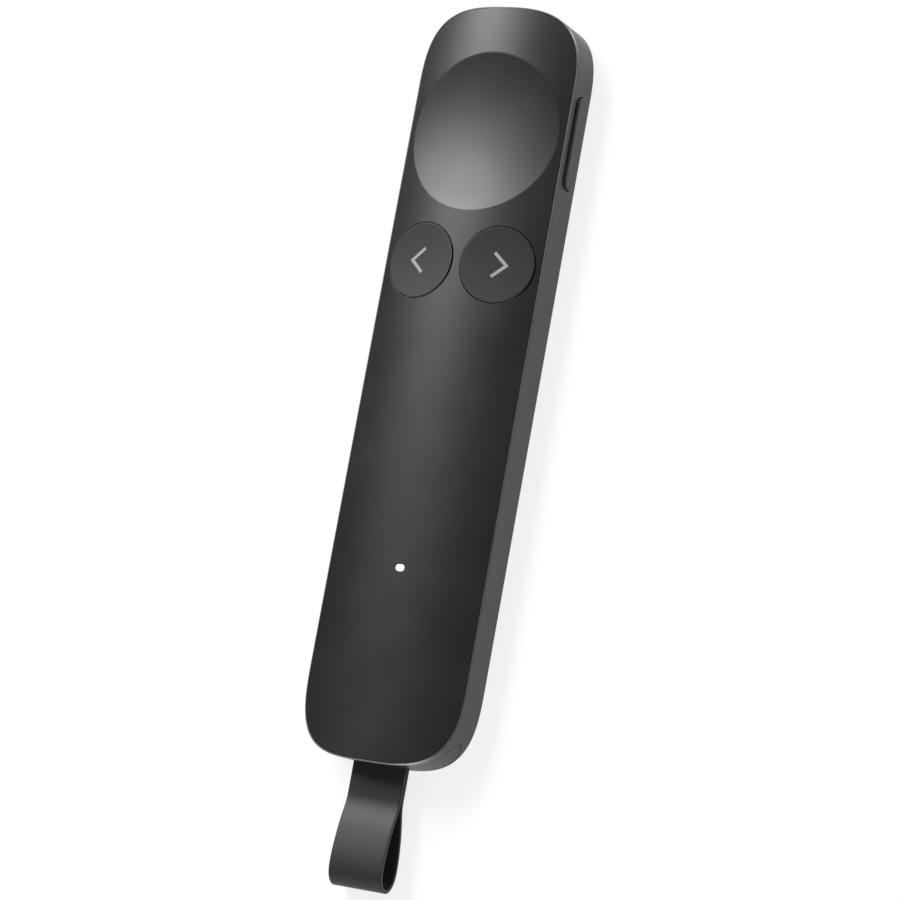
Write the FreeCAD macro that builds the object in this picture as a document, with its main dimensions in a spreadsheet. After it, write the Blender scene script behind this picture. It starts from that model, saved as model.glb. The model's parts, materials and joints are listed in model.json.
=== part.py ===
import FreeCAD, Part
import math
import os
import re
import Sketcher
from FreeCAD import Placement, Rotation, Vector

# A slim wireless presentation clicker, lying on its flat back.
# Millimetres. X runs across it, +Y towards its head, +Z out of its crowned face.
# The origin is the middle of the flat back.

os.makedirs("parts", exist_ok=True)
doc = FreeCAD.newDocument("clicker")
sheet = doc.addObject("Spreadsheet::Sheet", "sizes")

# Driving dimensions: alias, value, what it is.
SIZES = [
    ("bodyLength", 131.3, "head to tail of the casing"),
    ("bodyWidth", 30.7, "across the casing"),
    ("wallHeight", 6.2, "flat side wall, back to the front edge"),
    ("crownRise", 2.64, "how far the face swells above the side wall"),
    ("headCorner", 15.0, "length of the head's squared-off rounding"),
    ("headSquareness", 3.16, "exponent of the head's rounding, 2 is round"),
    ("tailCorner", 16.3, "length of the tail's rounding"),
    ("tailSquareness", 3.35, "exponent of the tail's rounding"),
    ("frameWall", 1.0, "thickness of the side frame"),
    ("frameLip", 0.3, "thin edge of the frame around both covers"),
    ("coverThick", 0.8, "front cover plate"),
    ("rearThick", 0.5, "rear cover sheet"),
    ("seam", 0.06, "hairline between pieces that meet"),
    ("headBand", 5.95, "head seam to the head's end"),
    ("tapeThick", 0.08, "adhesive tape behind the rear cover"),
    ("tapeWide", 2.0, "width of the tape frame"),
    ("padRadius", 14.15, "pointer dish in plan"),
    ("padPlace", 43.35, "pointer dish, from the middle"),
    ("dishDeep", 1.15, "how far the dish is pressed below the face's top line"),
    ("padLift", 0.4, "pad and its pusher above the switch dome"),
    ("padGap", 0.05, "running gap round the pad"),
    ("padSkin", 1.0, "pad thickness under the dish"),
    ("padRim", 1.2, "pad wall left round its hollow"),
    ("buttonRadius", 6.65, "round buttons"),
    ("buttonApart", 7.47, "button centre to the middle line"),
    ("buttonPlace", 20.2, "buttons, from the middle"),
    ("buttonProud", 0.1, "button above the crown"),
    ("buttonThick", 1.2, "button disc"),
    ("buttonGap", 0.14, "running gap round a button"),
    ("buttonBevel", 0.12, "bevel on the button's edge"),
    ("buttonTravel", 0.35, "press of a button"),
    ("tabWide", 3.0, "retaining tab across"),
    ("tabReach", 0.7, "retaining tab beyond the disc"),
    ("tabThick", 0.35, "retaining tab"),
    ("postRadius", 1.2, "pusher under a button"),
    ("markReach", 2.4, "arrow mark, tip to its ends along X"),
    ("markShift", 0.5, "arrow mark's middle towards its tip"),
    ("markSpread", 2.1, "arrow mark, half its height"),
    ("markStroke", 0.5, "arrow mark line width"),
    ("markDeep", 0.25, "arrow inlay depth"),
    ("markFit", 0.01, "arrow inlay clearance"),
    ("keyLong", 16.4, "side key along the wall"),
    ("keyTall", 3.4, "side key across the wall"),
    ("keyMiddle", 3.0, "side key height above the back"),
    ("keyProud", 0.5, "side key outside the wall"),
    ("keyGap", 0.14, "running gap round the key"),
    ("keyDeep", 2.25, "key through the wall, face to flange foot"),
    ("keyFlange", 0.55, "thickness of the key's retaining flange"),
    ("keyBevel", 0.2, "bevel on the key's face"),
    ("lampPlace", -32.9, "status light, from the middle"),
    ("lampLong", 1.6, "status light along the middle line's width"),
    ("lampWide", 1.3, "status light the other way"),
    ("lampGap", 0.05, "status lamp to the light pipe"),
    ("lampTall", 0.5, "status lamp"),
    ("pipeCollar", 0.5, "collar of the light pipe"),
    ("pipeRoom", 0.1, "light pipe's collar to the cover"),
    ("floorFoot", 0.6, "underside of the chassis"),
    ("floorThick", 0.6, "chassis floor"),
    ("floorGap", 0.15, "chassis to the frame"),
    ("boardFoot", 3.8, "underside of the main board"),
    ("boardThick", 0.8, "both circuit boards"),
    ("boardMargin", 2.55, "main board's long edges to the casing's side"),
    ("boardShort", 6.65, "main board's head end to the casing's"),
    ("boardTail", 10.0, "tail end of the main board"),
    ("boardScrewApart", 10.5, "board screws to the middle line"),
    ("boardScrewInset", 3.2, "board screws from the board's ends"),
    ("columnRadius", 1.5, "chassis columns under the board"),
    ("screwRadius", 0.7, "screw shank"),
    ("screwHead", 1.2, "screw head radius"),
    ("screwHeadTall", 0.5, "screw head height"),
    ("screwFit", 0.05, "screw shank clearance"),
    ("coverScrewLong", 3.6, "cover screw shank"),
    ("boardScrewLong", 1.9, "board screw shank"),
    ("bossRadius", 1.35, "screw bosses of the front cover"),
    ("bossFoot", 1.9, "underside of the bosses"),
    ("bossApart", 10.8, "bosses to the middle line"),
    ("bossHead", 7.9, "forward bosses, from the middle"),
    ("bossTail", -28.9, "rear bosses, from the middle"),
    ("switchWide", 3.6, "tactile switch, square"),
    ("switchTall", 0.55, "tactile switch body"),
    ("domeRadius", 1.1, "switch dome"),
    ("domeTall", 0.2, "switch dome"),
    ("batteryWide", 23.0, "cell across"),
    ("batteryLong", 31.0, "cell along"),
    ("batteryThick", 4.0, "cell thickness"),
    ("batteryPlace", -10.5, "cell middle"),
    ("foamThick", 0.25, "foam pad under the cell"),
    ("bayWall", 0.7, "chassis ribs"),
    ("motorRadius", 4.0, "haptic motor"),
    ("motorGap", 0.2, "haptic motor to the main board above it"),
    ("motorPlace", 23.0, "haptic motor, from the middle"),
    ("shieldWide", 13.0, "radio shield across"),
    ("shieldLong", 11.0, "radio shield along"),
    ("shieldTall", 1.5, "radio shield"),
    ("shieldSheet", 0.2, "shield sheet metal"),
    ("shieldPlace", 50.0, "radio shield, from the middle"),
    ("tailFoot", 5.2, "underside of the tail board"),
    ("tailBoardWide", 23.0, "tail board across"),
    ("lampInset", 2.3, "status light to the tail board's head end"),
    ("tailBoardBack", 3.3, "tail board to the tail plug"),
    ("flexWide", 6.0, "flat link between the boards"),
    ("flexThick", 0.15, "flat link"),
    ("plugShoulder", 1.35, "casing's side to the plug's end"),
    ("plugTall", 5.2, "height of the tail plug"),
    ("plugMiddle", 3.2, "plug centre above the back"),
    ("plugDeep", 5.85, "tail's end to the plug's inner face"),
    ("plugGap", 0.1, "sliding gap round the plug"),
    ("receiverPlace", -7.4, "receiver to the middle line"),
    ("receiverWide", 11.4, "receiver body across"),
    ("receiverThick", 3.2, "receiver body"),
    ("receiverLong", 8.0, "receiver body"),
    ("receiverFoot", 1.8, "underside of the receiver"),
    ("contactWide", 8.3, "receiver plug shell across"),
    ("contactThick", 2.5, "receiver plug shell"),
    ("contactLong", 6.6, "receiver plug shell"),
    ("contactSheet", 0.3, "plug and socket sheet metal"),
    ("socketPlace", 4.4, "charge socket to the middle line"),
    ("socketWide", 8.9, "charge socket across"),
    ("socketTall", 3.2, "charge socket"),
    ("socketLong", 7.3, "charge socket"),
    ("socketBack", 0.5, "charge socket's mouth to the plug"),
    ("tongueThick", 0.7, "contact tongue"),
    ("magnetRadius", 1.2, "holding magnets"),
    ("magnetPlace", 11.4, "holding magnets to the middle line"),
    ("magnetLong", 1.5, "holding magnets"),
    ("strapHalf", 5.1, "half width of the strap"),
    ("strapThick", 0.85, "strap thickness"),
    ("strapReach", 20.8, "loop beyond the tail"),
    ("strapLow", 0.15, "lowest point of the loop"),
    ("strapHigh", 5.45, "highest point of the loop"),
    ("strapMiddle", 2.88, "the doubled strap's mid plane"),
    ("strapParting", 0.05, "half the gap between the plies"),
    ("strapTuck", 2.6, "strap inside the plug"),
    ("strapFit", 0.12, "strap slot clearance"),
    ("pinRadius", 0.45, "cross pin through the strap"),
    ("pinFit", 0.03, "cross pin clearance"),
    ("threadFit", 0.01, "screw thread in its hole"),
    ("seatFit", 0.01, "cover on its step"),
    ("touchGap", 0.02, "pieces that stand face to face"),
    ("rootSink", 0.1, "how far a rib or shank is rooted in what carries it"),
    ("cutOver", 1.0, "how far a cutting block passes the face it cuts"),
    ("openingPast", 0.6, "tail opening past the plug's inner face"),
    ("trayBack", 0.3, "tray and tape to the plug's inner face"),
    ("bayGap", 0.3, "cell to its fence"),
    ("fenceTall", 1.3, "cell fence above the floor"),
    ("fenceShort", 3.0, "fence ends short of the cell's corners"),
    ("bossWall", 0.5, "tray's seat round a boss"),
    ("receiverGap", 0.15, "receiver to its ribs"),
    ("receiverEnd", 1.0, "receiver's plug to the rib ahead of it"),
    ("ribStep", 4.0, "outer receiver rib starts this far behind the inner one"),
    ("railWide", 20.0, "aerial rail across"),
    ("railThick", 0.8, "aerial rail"),
    ("railTall", 3.1, "aerial rail above the floor"),
    ("railShort", 5.45, "aerial rail to the head's end"),
    ("headFit", 0.1, "screw head in its recess"),
    ("magnetBack", 0.4, "bay magnet to the plug"),
    ("magnetWall", 0.5, "cup round the bay magnet"),
    ("magnetFit", 0.02, "magnet in its bore"),
    ("postSlack", 0.12, "pusher to the dome at full travel"),
    ("flangeReach", 0.9, "key's flange beyond the key"),
    ("domeSink", 0.05, "dome set into the switch"),
    ("edgeWide", 2.2, "edge switch across"),
    ("edgeLong", 4.4, "edge switch along"),
    ("edgeTall", 1.7, "edge switch"),
    ("nubRadius", 0.6, "edge switch plunger"),
    ("nubLong", 0.55, "edge switch plunger"),
    ("nubGap", 0.4, "plunger to the key"),
    ("cornerCut", 1.7, "square cut off the main board's head corners"),
    ("slotLong", 1.6, "screw slot"),
    ("slotWide", 0.35, "screw slot"),
    ("slotDeep", 0.25, "screw slot"),
    ("dotRadius", 0.3, "dimple in a chip's corner"),
    ("dotDeep", 0.1, "dimple in a chip's corner"),
    ("dotInset", 0.7, "dimple to the chip's edges"),
    ("radioWide", 6.0, "radio chip, square"),
    ("processorWide", 5.0, "processor chip, square"),
    ("processorSide", 7.5, "processor chip to the middle line"),
    ("processorBack", 4.0, "processor chip behind the dish's centre"),
    ("smallChip", 3.0, "motion sensor and charger chip, square"),
    ("motionSide", 8.0, "motion sensor to the middle line"),
    ("motionBack", 10.35, "motion sensor behind the dish's centre"),
    ("chargerSide", 7.0, "charger chip to the middle line"),
    ("chargerBack", 11.4, "charger chip from the tail board's head end"),
    ("chipTall", 0.9, "thicker chips"),
    ("chipLow", 0.6, "thinner chips"),
    ("hubTall", 0.3, "raised hub of the haptic motor"),
    ("hubStep", 1.0, "hub's edge inside the motor's"),
    ("antennaWide", 18.0, "aerial board across"),
    ("antennaThick", 0.6, "aerial board"),
    ("antennaTall", 4.4, "aerial board"),
    ("antennaGap", 0.05, "aerial board to its rail"),
    ("slitApart", 3.0, "slits in the aerial board"),
    ("slitWide", 0.5, "slit"),
    ("slitTall", 2.4, "slit"),
    ("cellRound", 0.9, "cell's long edges"),
    ("sealLong", 2.0, "folded seal at the cell's end"),
    ("sealLap", 0.4, "seal rooted in the cell"),
    ("sealThick", 0.8, "folded seal"),
    ("sealShort", 3.0, "seal and foam narrower than the cell"),
    ("foamShort", 6.0, "foam shorter than the cell"),
    ("flexBack", 2.4, "flat link's drop past the cell"),
    ("flexOver", 1.1, "flat link's start behind the tail board's head end"),
    ("flexLap", 2.0, "flat link laid on the main board"),
    ("notchWide", 2.0, "notch in the tail board's corner"),
    ("notchLong", 1.5, "notch in the tail board's corner"),
    ("socketWall", 1.2, "closed end of the charge socket"),
    ("tongueSide", 1.1, "socket's side to the tongue"),
    ("tongueEnd", 0.4, "tongue to the socket's mouth and end"),
    ("lampChipWide", 1.6, "status lamp across"),
    ("lampChipLong", 1.0, "status lamp along"),
    ("pinPast", 1.0, "cross pin beyond the strap's slot"),
    ("pinBack", 1.0, "cross pin to the strap's inner end"),
    ("pinEnd", 0.05, "cross pin to the end of its hole"),
    ("receiverWall", 1.0, "receiver's moulded wall"),
    ("receiverRoom", 1.1, "height inside the receiver"),
    ("receiverFit", 0.1, "receiver's board in its room"),
    ("receiverBoardThick", 0.8, "receiver's board"),
    ("receiverTip", 0.6, "contact tongue short of its shell"),
    ("receiverTongueSide", 1.5, "contact tongue to the shell's side"),
]

# Places and sizes that follow from them: alias, formula, what it is.
DERIVED = [
    ("halfWide", "bodyWidth / 2", "middle line to the side"),
    ("halfLong", "bodyLength / 2", "middle to either end"),
    ("seamPlace", "halfLong - headBand", "head seam, from the middle"),
    ("plugFace", "plugDeep - halfLong", "inner face of the tail plug"),
    ("plugHalf", "halfWide - plugShoulder", "half width of the tail plug"),
    ("boardWide", "bodyWidth - 2 * boardMargin", "main board across"),
    ("boardHead", "halfLong - boardShort", "head end of the main board"),
    ("domeTop", "boardFoot + boardThick + switchTall + domeTall", "top of a switch dome"),
    ("padFoot", "domeTop + padLift", "underside of the pad and its pusher"),
    ("keyFoot", "halfWide + keyProud - keyDeep", "inner face of the key"),
    ("tailTop", "tailFoot + boardThick", "upper face of the tail board"),
    ("pipeFoot", "tailTop + lampTall + lampGap", "underside of the light pipe"),
    ("tailBoardHead", "lampPlace + lampInset", "head end of the tail board"),
    ("tailBoardTail", "plugFace + tailBoardBack", "tail end of the tail board"),
    ("socketMouth", "plugFace + socketBack", "mouth of the charge socket"),
    ("flangeLong", "keyLong + 2 * flangeReach", "key's flange along the wall"),
    ("tabSpan", "2 * (buttonRadius + tabReach)", "both retaining tabs, tip to tip"),
    ("floorTop", "floorFoot + floorThick", "upper face of the tray's floor"),
    ("motorTall", "boardFoot - floorTop - motorGap", "haptic motor"),
    ("railPlace", "halfLong - railShort", "tail side of the aerial rail"),
    ("nubEnd", "keyFoot - nubGap", "tip of the edge switch's plunger"),
    ("cellFoot", "floorTop + foamThick", "underside of the cell"),
    ("cellEnd", "batteryPlace + batteryLong / 2", "head end of the cell's seal"),
    ("receiverStart", "plugFace + touchGap", "tail end of the receiver's body"),
    ("shellStart", "receiverStart + receiverLong + touchGap", "tail end of the receiver's shell"),
    ("receiverLevel", "receiverFoot + receiverThick / 2", "the receiver's mid plane"),
]
WORDS = {name for name, value, note in SIZES + DERIVED}


def fill_sheet():
    """Write every driving dimension, then what follows from them, with aliases and meanings."""
    rows = [(name, str(value), note) for name, value, note in SIZES]
    rows += [(name, "=" + formula, note) for name, formula, note in DERIVED]
    for row, (name, text, note) in enumerate(rows, start=1):
        sheet.set(f"A{row}", note)
        sheet.set(f"B{row}", text)
        sheet.setAlias(f"B{row}", name)
    doc.recompute()


fill_sheet()


def size(name):
    """Read a dimension from the sheet."""
    return float(getattr(sheet, name))


def bind(text):
    """Turn a formula in plain aliases into an expression on the sheet."""
    def on_sheet(match):
        word = match.group()
        return "sizes." + word if word in WORDS else word

    return re.sub(r"[A-Za-z]\w*", on_sheet, str(text))


def put(piece, x, y, z):
    """Bind a piece's place to formulas."""
    piece.setExpression(".Placement.Base.x", bind(x))
    piece.setExpression(".Placement.Base.y", bind(y))
    piece.setExpression(".Placement.Base.z", bind(z))


def block(name, wide, long, tall, x, y, z):
    """Block centred on x and y, standing on z."""
    piece = doc.addObject("Part::Box", name)
    piece.setExpression("Length", bind(wide))
    piece.setExpression("Width", bind(long))
    piece.setExpression("Height", bind(tall))
    put(piece, f"({x}) - ({wide}) / 2", f"({y}) - ({long}) / 2", z)
    return piece


TURNS = {"X": Rotation(Vector(0, 1, 0), 90), "Y": Rotation(Vector(1, 0, 0), -90), "Z": Rotation()}


def rod(name, radius, tall, x, y, z, along="Z"):
    """Round rod that starts at x, y, z and runs along the positive axis."""
    piece = doc.addObject("Part::Cylinder", name)
    piece.setExpression("Radius", bind(radius))
    piece.setExpression("Height", bind(tall))
    piece.Placement = Placement(Vector(), TURNS[along])
    put(piece, x, y, z)
    return piece


def joined(name, *pieces):
    """Fuse pieces into one."""
    piece = doc.addObject("Part::MultiFuse", name)
    piece.Shapes = list(pieces)
    piece.Refine = True
    return piece


def group(name, *pieces):
    """Keep separate solids in one node."""
    piece = doc.addObject("Part::Compound", name)
    piece.Links = list(pieces)
    return piece


def minus(name, base, *tools):
    """Cut tools out of a base."""
    piece = doc.addObject("Part::Cut", name)
    piece.Base = base
    piece.Tool = tools[0] if len(tools) == 1 else joined(name + "_tools", *tools)
    piece.Refine = True
    return piece


def fixed(name, shape, place=None):
    """Hold a shape worked out by formula, at the origin or at a place of its own."""
    piece = doc.addObject("Part::Feature", name)
    piece.Shape = shape
    piece.Placement = place or Placement()
    return piece


# The casing's outline and its crown

def corner(half, end, long, squareness, inset, turn_x, turn_y):
    """One quarter of the outline: a superellipse from the side to the end."""
    reach_x = half - inset
    reach_y = long - inset
    steps = 12
    points = []
    for step in range(steps + 1):
        angle = math.radians(90 * step / steps)
        x = reach_x * math.cos(angle) ** (2 / squareness) if step < steps else 0.0
        y = end - long + reach_y * math.sin(angle) ** (2 / squareness) if step else end - long
        points.append(Vector(turn_x * x, turn_y * y, 0))
    curve = Part.BSplineCurve()
    side_tangent = Vector(0, turn_y, 0)
    end_tangent = Vector(-turn_x, 0, 0)
    curve.interpolate(Points=points, InitialTangent=side_tangent, FinalTangent=end_tangent)
    return curve.toShape()


def outline(inset):
    """Closed outline of the casing, drawn in by inset."""
    half = size("halfWide")
    end = size("halfLong")
    head = (half, end, size("headCorner"), size("headSquareness"), inset)
    tail = (half, end, size("tailCorner"), size("tailSquareness"), inset)
    head_y = end - size("headCorner")
    tail_y = -(end - size("tailCorner"))
    x = half - inset
    edges = [
        corner(*head, 1, 1),
        corner(*head, -1, 1),
        Part.makeLine(Vector(-x, head_y, 0), Vector(-x, tail_y, 0)),
        corner(*tail, -1, -1),
        corner(*tail, 1, -1),
        Part.makeLine(Vector(x, tail_y, 0), Vector(x, head_y, 0)),
    ]
    return Part.Wire(Part.__sortEdges__(edges))


def prism(inset, low, high):
    """Upright block on the outline, drawn in by inset, between two heights."""
    face = Part.Face(outline(inset))
    face.translate(Vector(0, 0, low))
    return face.extrude(Vector(0, 0, high - low))


def arc_radius(half, sag):
    """Radius of the arc that rises by sag over a half chord."""
    return (half ** 2 + sag ** 2) / (2 * sag)


def crown_radius():
    """Radius of the crown from the body's width and the crown's rise."""
    return arc_radius(size("halfWide"), size("crownRise"))


def face_top():
    """Highest line of the face."""
    return size("wallHeight") + size("crownRise")


def crown(sink=0.0):
    """Long round bar whose top is the crown, sunk by so much."""
    radius = crown_radius()
    long = 2 * size("bodyLength")
    start = Vector(0, -long / 2, face_top() - radius)
    return Part.makeCylinder(radius - sink, long, start, Vector(0, 1, 0))


def crown_at(x):
    """Height of the face at a distance from the middle line."""
    radius = crown_radius()
    return face_top() - radius + math.sqrt(radius ** 2 - x ** 2)


def dish(drop=0.0):
    """Hourglass lying along the casing: hollow lengthwise, a little swollen across.

    Its waist and its flare are chosen so that it meets the crown on a circle in plan.
    """
    half = size("padRadius")
    deep = size("dishDeep")
    crown_sag = crown_radius() - math.sqrt(crown_radius() ** 2 - half ** 2)
    waist = arc_radius(half, crown_sag - deep)
    flare = arc_radius(half, deep)
    axis = face_top() - deep - waist
    reach = half + size("cutOver")
    rise = flare - math.sqrt(flare ** 2 - reach ** 2)
    near = size("padPlace") - reach
    far = size("padPlace") + reach
    low = face_top() - deep - drop
    arc = Part.Arc(Vector(0, near, low + rise), Vector(0, size("padPlace"), low), Vector(0, far, low + rise))
    sides = [
        Part.makeLine(Vector(0, near, axis), Vector(0, near, low + rise)),
        arc.toShape(),
        Part.makeLine(Vector(0, far, low + rise), Vector(0, far, axis)),
        Part.makeLine(Vector(0, far, axis), Vector(0, near, axis)),
    ]
    return Part.Face(Part.Wire(sides)).revolve(Vector(0, near, axis), Vector(0, 1, 0), 360)


def upright(radius, x, y, low, high):
    """Upright round bar."""
    return Part.makeCylinder(radius, high - low, Vector(x, y, low), Vector(0, 0, 1))


def rounded_slot(half_long, half_tall, deep, turn):
    """Stadium bar lying along X, extruded along Y by deep, then turned."""
    straight = half_long - half_tall
    top = Part.makeLine(Vector(-straight, 0, half_tall), Vector(straight, 0, half_tall))
    foot = Part.makeLine(Vector(straight, 0, -half_tall), Vector(-straight, 0, -half_tall))
    right = Part.Arc(Vector(straight, 0, half_tall), Vector(half_long, 0, 0), Vector(straight, 0, -half_tall))
    left = Part.Arc(Vector(-straight, 0, -half_tall), Vector(-half_long, 0, 0),
                    Vector(-straight, 0, half_tall))
    bar = Part.Face(Part.Wire([top, right.toShape(), foot, left.toShape()])).extrude(Vector(0, deep, 0))
    bar.Placement = turn
    return bar


def button_seat(side):
    """Place of a button: on the crown and square to it."""
    x = side * size("buttonApart")
    tilt = math.degrees(math.asin(x / crown_radius()))
    place = Vector(x, size("buttonPlace"), crown_at(x))
    return Placement(place, Rotation(Vector(0, 1, 0), tilt))


# Casing

SKY = 2 * face_top()
PAST = 20.0  # reach of a cutting block beyond the casing
BOSSES = [(side, place) for side in (-1, 1) for place in ("bossHead", "bossTail")]


def plug_bar(grow, near, far):
    """Stadium bar of the tail plug between two places along Y."""
    half_long = size("plugHalf") + grow
    half_tall = size("plugTall") / 2 + grow
    turn = Placement(Vector(0, near, size("plugMiddle")), Rotation())
    return rounded_slot(half_long, half_tall, far - near, turn)


def band():
    """Side wall all round, with steps for the two covers."""
    ring = prism(0, 0, SKY).common(crown()).cut(prism(size("frameWall"), -1, SKY))
    front_step = prism(size("frameLip"), 0, SKY).cut(crown(size("coverThick")))
    rear_step = prism(size("frameLip"), -1, size("rearThick"))
    return ring.cut(front_step).cut(rear_step)


def key_hole():
    """Slot in the side wall for the key."""
    turn = Placement(
        Vector(size("halfWide") + size("cutOver"), size("padPlace"), size("keyMiddle")),
        Rotation(Vector(0, 0, 1), 90),
    )
    gap = size("keyGap")
    deep = 2 * size("cutOver") + size("frameWall")
    return rounded_slot(size("keyLong") / 2 + gap, size("keyTall") / 2 + gap, deep, turn)


def side_frame():
    end = size("halfLong") + size("cutOver")
    wide = size("bodyWidth") + PAST
    keep = Part.makeBox(wide, end + size("seamPlace"), SKY, Vector(-wide / 2, -end, 0))
    opening = plug_bar(size("plugGap"), -end, size("plugFace") + size("openingPast"))
    return fixed("side_frame", band().common(keep).cut(key_hole()).cut(opening))


def head_cap():
    start = size("seamPlace") + size("seam")
    wide = size("bodyWidth") + PAST
    keep = Part.makeBox(wide, size("bodyLength"), SKY, Vector(-wide / 2, start, 0))
    return fixed("head_cap", band().common(keep))


def behind_plug(foot):
    """Cutting block that clears the tail for the plug."""
    wide = size("bodyWidth") + PAST
    start = size("plugFace") + size("trayBack") - PAST
    return Part.makeBox(wide, PAST, SKY, Vector(-wide / 2, start, foot))


def front_cover():
    """Crowned plate with its three openings, the light's hole and four bosses."""
    edge = size("frameLip") + size("seam")
    sink = size("coverThick") - size("seatFit")
    shape = prism(edge, 0, SKY).common(crown()).cut(crown(sink))
    for side, place in BOSSES:
        x = side * size("bossApart")
        boss = upright(size("bossRadius"), x, size(place), size("bossFoot"), SKY).common(crown(sink / 2))
        shape = shape.fuse(boss)
    shape = shape.cut(upright(size("padRadius"), 0, size("padPlace"), 0, SKY))
    for side in (-1, 1):
        hole = upright(size("buttonRadius") + size("buttonGap"), 0, 0, -3 * size("coverThick"), SKY)
        hole.Placement = button_seat(side)
        shape = shape.cut(hole)
    shape = shape.cut(lamp_bar(size("seam") / 2, 0, SKY))
    for side, place in BOSSES:
        x = side * size("bossApart")
        long = size("coverScrewLong") + size("floorFoot") + size("screwHeadTall")
        shape = shape.cut(upright(size("screwRadius") + size("threadFit"), x, size(place), 0, long))
    return fixed("front_cover", shape.removeSplitter())


def rear_cover():
    edge = size("frameLip") + size("seam")
    return fixed("rear_cover", prism(edge, 0, size("rearThick") - size("seatFit")))


def back_tape():
    """Frame of adhesive tape between the rear cover and the chassis."""
    outer = size("frameWall") + size("floorGap")
    low = size("rearThick")
    high = low + size("tapeThick")
    ring = prism(outer, low, high).cut(prism(outer + size("tapeWide"), low - 1, high + 1))
    return fixed("back_tape", ring.cut(behind_plug(0)))


def lamp_bar(grow, low, high):
    """Upright bar of the status light: a short stadium, long across."""
    half_long = size("lampLong") / 2 + grow
    half_wide = size("lampWide") / 2 + grow
    turn = Placement(Vector(0, size("lampPlace"), low), Rotation(Vector(1, 0, 0), 90))
    return rounded_slot(half_long, half_wide, high - low, turn)


def light_pipe():
    """Clear stub from the lamp to the face, with a collar under the cover."""
    stub = lamp_bar(0, size("pipeFoot"), SKY).common(crown())
    under = face_top() - size("coverThick") - size("pipeRoom")
    collar = lamp_bar(size("pipeCollar"), size("pipeFoot"), under)
    return fixed("light_pipe", stub.fuse(collar).removeSplitter())


def chassis():
    """Moulded tray: floor, battery fence, board columns, screw seats, receiver ribs."""
    floor_foot = size("floorFoot")
    floor_top = size("floorTop")
    root = floor_top - size("rootSink")
    shape = prism(size("frameWall") + size("floorGap"), floor_foot, floor_top).cut(behind_plug(0))
    for wall in battery_fence(root) + receiver_ribs(root) + [magnet_cup(root)]:
        shape = shape.fuse(wall)
    for x, y in board_screw_places():
        shape = shape.fuse(upright(size("columnRadius"), x, y, root, size("boardFoot")))
    for side, place in BOSSES:
        x = side * size("bossApart")
        seat_top = size("bossFoot") - size("touchGap")
        boss = upright(size("bossRadius") + size("bossWall"), x, size(place), floor_foot, seat_top)
        shape = shape.fuse(boss)
    rail_tall = size("railTall") + size("rootSink")
    rail = Part.makeBox(size("railWide"), size("railThick"), rail_tall,
                        Vector(-size("railWide") / 2, size("railPlace"), root))
    shape = shape.fuse(rail)
    for x, y in board_screw_places():
        shape = shape.cut(upright(size("screwRadius") + size("threadFit"), x, y, floor_top, SKY))
    for side, place in BOSSES:
        x = side * size("bossApart")
        head_top = floor_foot + size("screwHeadTall")
        shape = shape.cut(upright(size("screwHead") + size("headFit"), x, size(place), 0, head_top))
        shape = shape.cut(upright(size("screwRadius") + size("screwFit"), x, size(place), 0, SKY))
    return fixed("chassis", shape.removeSplitter())


def battery_fence(root):
    """Four low walls round the cell, open at its corners."""
    rib = size("bayWall")
    tall = size("fenceTall") + size("rootSink")
    half_wide = size("batteryWide") / 2 + size("bayGap")
    half_long = size("batteryLong") / 2 + size("bayGap")
    walls = []
    for along in (-1, 1):
        y = size("batteryPlace") + along * (half_long + rib / 2) - rib / 2
        wide = 2 * (half_wide - size("fenceShort"))
        walls.append(Part.makeBox(wide, rib, tall, Vector(-wide / 2, y, root)))
        x = along * (half_wide + rib / 2) - rib / 2
        start = size("batteryPlace") - size("batteryLong") / 2
        walls.append(Part.makeBox(rib, size("batteryLong"), tall, Vector(x, start, root)))
    return walls


def receiver_ribs(root):
    """Three ribs that guide the receiver, up to the tail board."""
    rib = size("bayWall")
    left = size("receiverPlace") - size("receiverWide") / 2 - size("receiverGap")
    right = size("receiverPlace") + size("receiverWide") / 2 + size("receiverGap")
    near = size("socketMouth")
    far = size("plugFace") + size("receiverLong") + size("contactLong") + size("receiverEnd")
    tall = size("tailFoot") - root - size("touchGap")
    step = size("ribStep")
    return [
        Part.makeBox(rib, far - near - step, tall, Vector(left - rib, near + step, root)),
        Part.makeBox(rib, far - near, tall, Vector(right, near, root)),
        Part.makeBox(right - left + 2 * rib, rib, tall, Vector(left - rib, far, root)),
    ]


def magnet_cup(root):
    """Cup of the chassis that holds the bay magnet."""
    start = size("plugFace") + size("magnetBack")
    half = size("magnetRadius") + size("magnetWall")
    middle = size("plugMiddle")
    long = size("magnetLong") + size("magnetWall")
    cup = Part.makeBox(2 * half, long, middle + half - root, Vector(size("magnetPlace") - half, start, root))
    bore = Part.makeCylinder(size("magnetRadius") + size("magnetFit"), size("magnetLong") + size("magnetFit"),
                             Vector(size("magnetPlace"), start - size("magnetFit"), middle), Vector(0, 1, 0))
    return cup.cut(bore)


def board_screw_places():
    """Where the four board screws stand."""
    near = size("boardTail") + size("boardScrewInset")
    far = size("boardHead") - size("boardScrewInset")
    return [(side * size("boardScrewApart"), y) for side in (-1, 1) for y in (near, far)]


# Pointer pad, buttons and side key

def pointer_pad():
    """Disc under the dish: scooped on top, hollow below, with a pusher over its switch."""
    radius = size("padRadius") - size("padGap")
    place = size("padPlace")
    foot = size("padFoot")
    shape = upright(radius, 0, place, foot, SKY).common(dish())
    below = foot - size("cutOver")
    hollow = upright(radius - size("padRim"), 0, place, below, SKY).common(dish(size("padSkin")))
    pusher = upright(size("postRadius"), 0, place, below, SKY)
    return fixed("pointer_pad", shape.cut(hollow.cut(pusher)).removeSplitter())


def role_plane(body, role):
    """A body's own origin plane."""
    return [item for item in body.Origin.OriginFeatures if item.Role == role][0]


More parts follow.
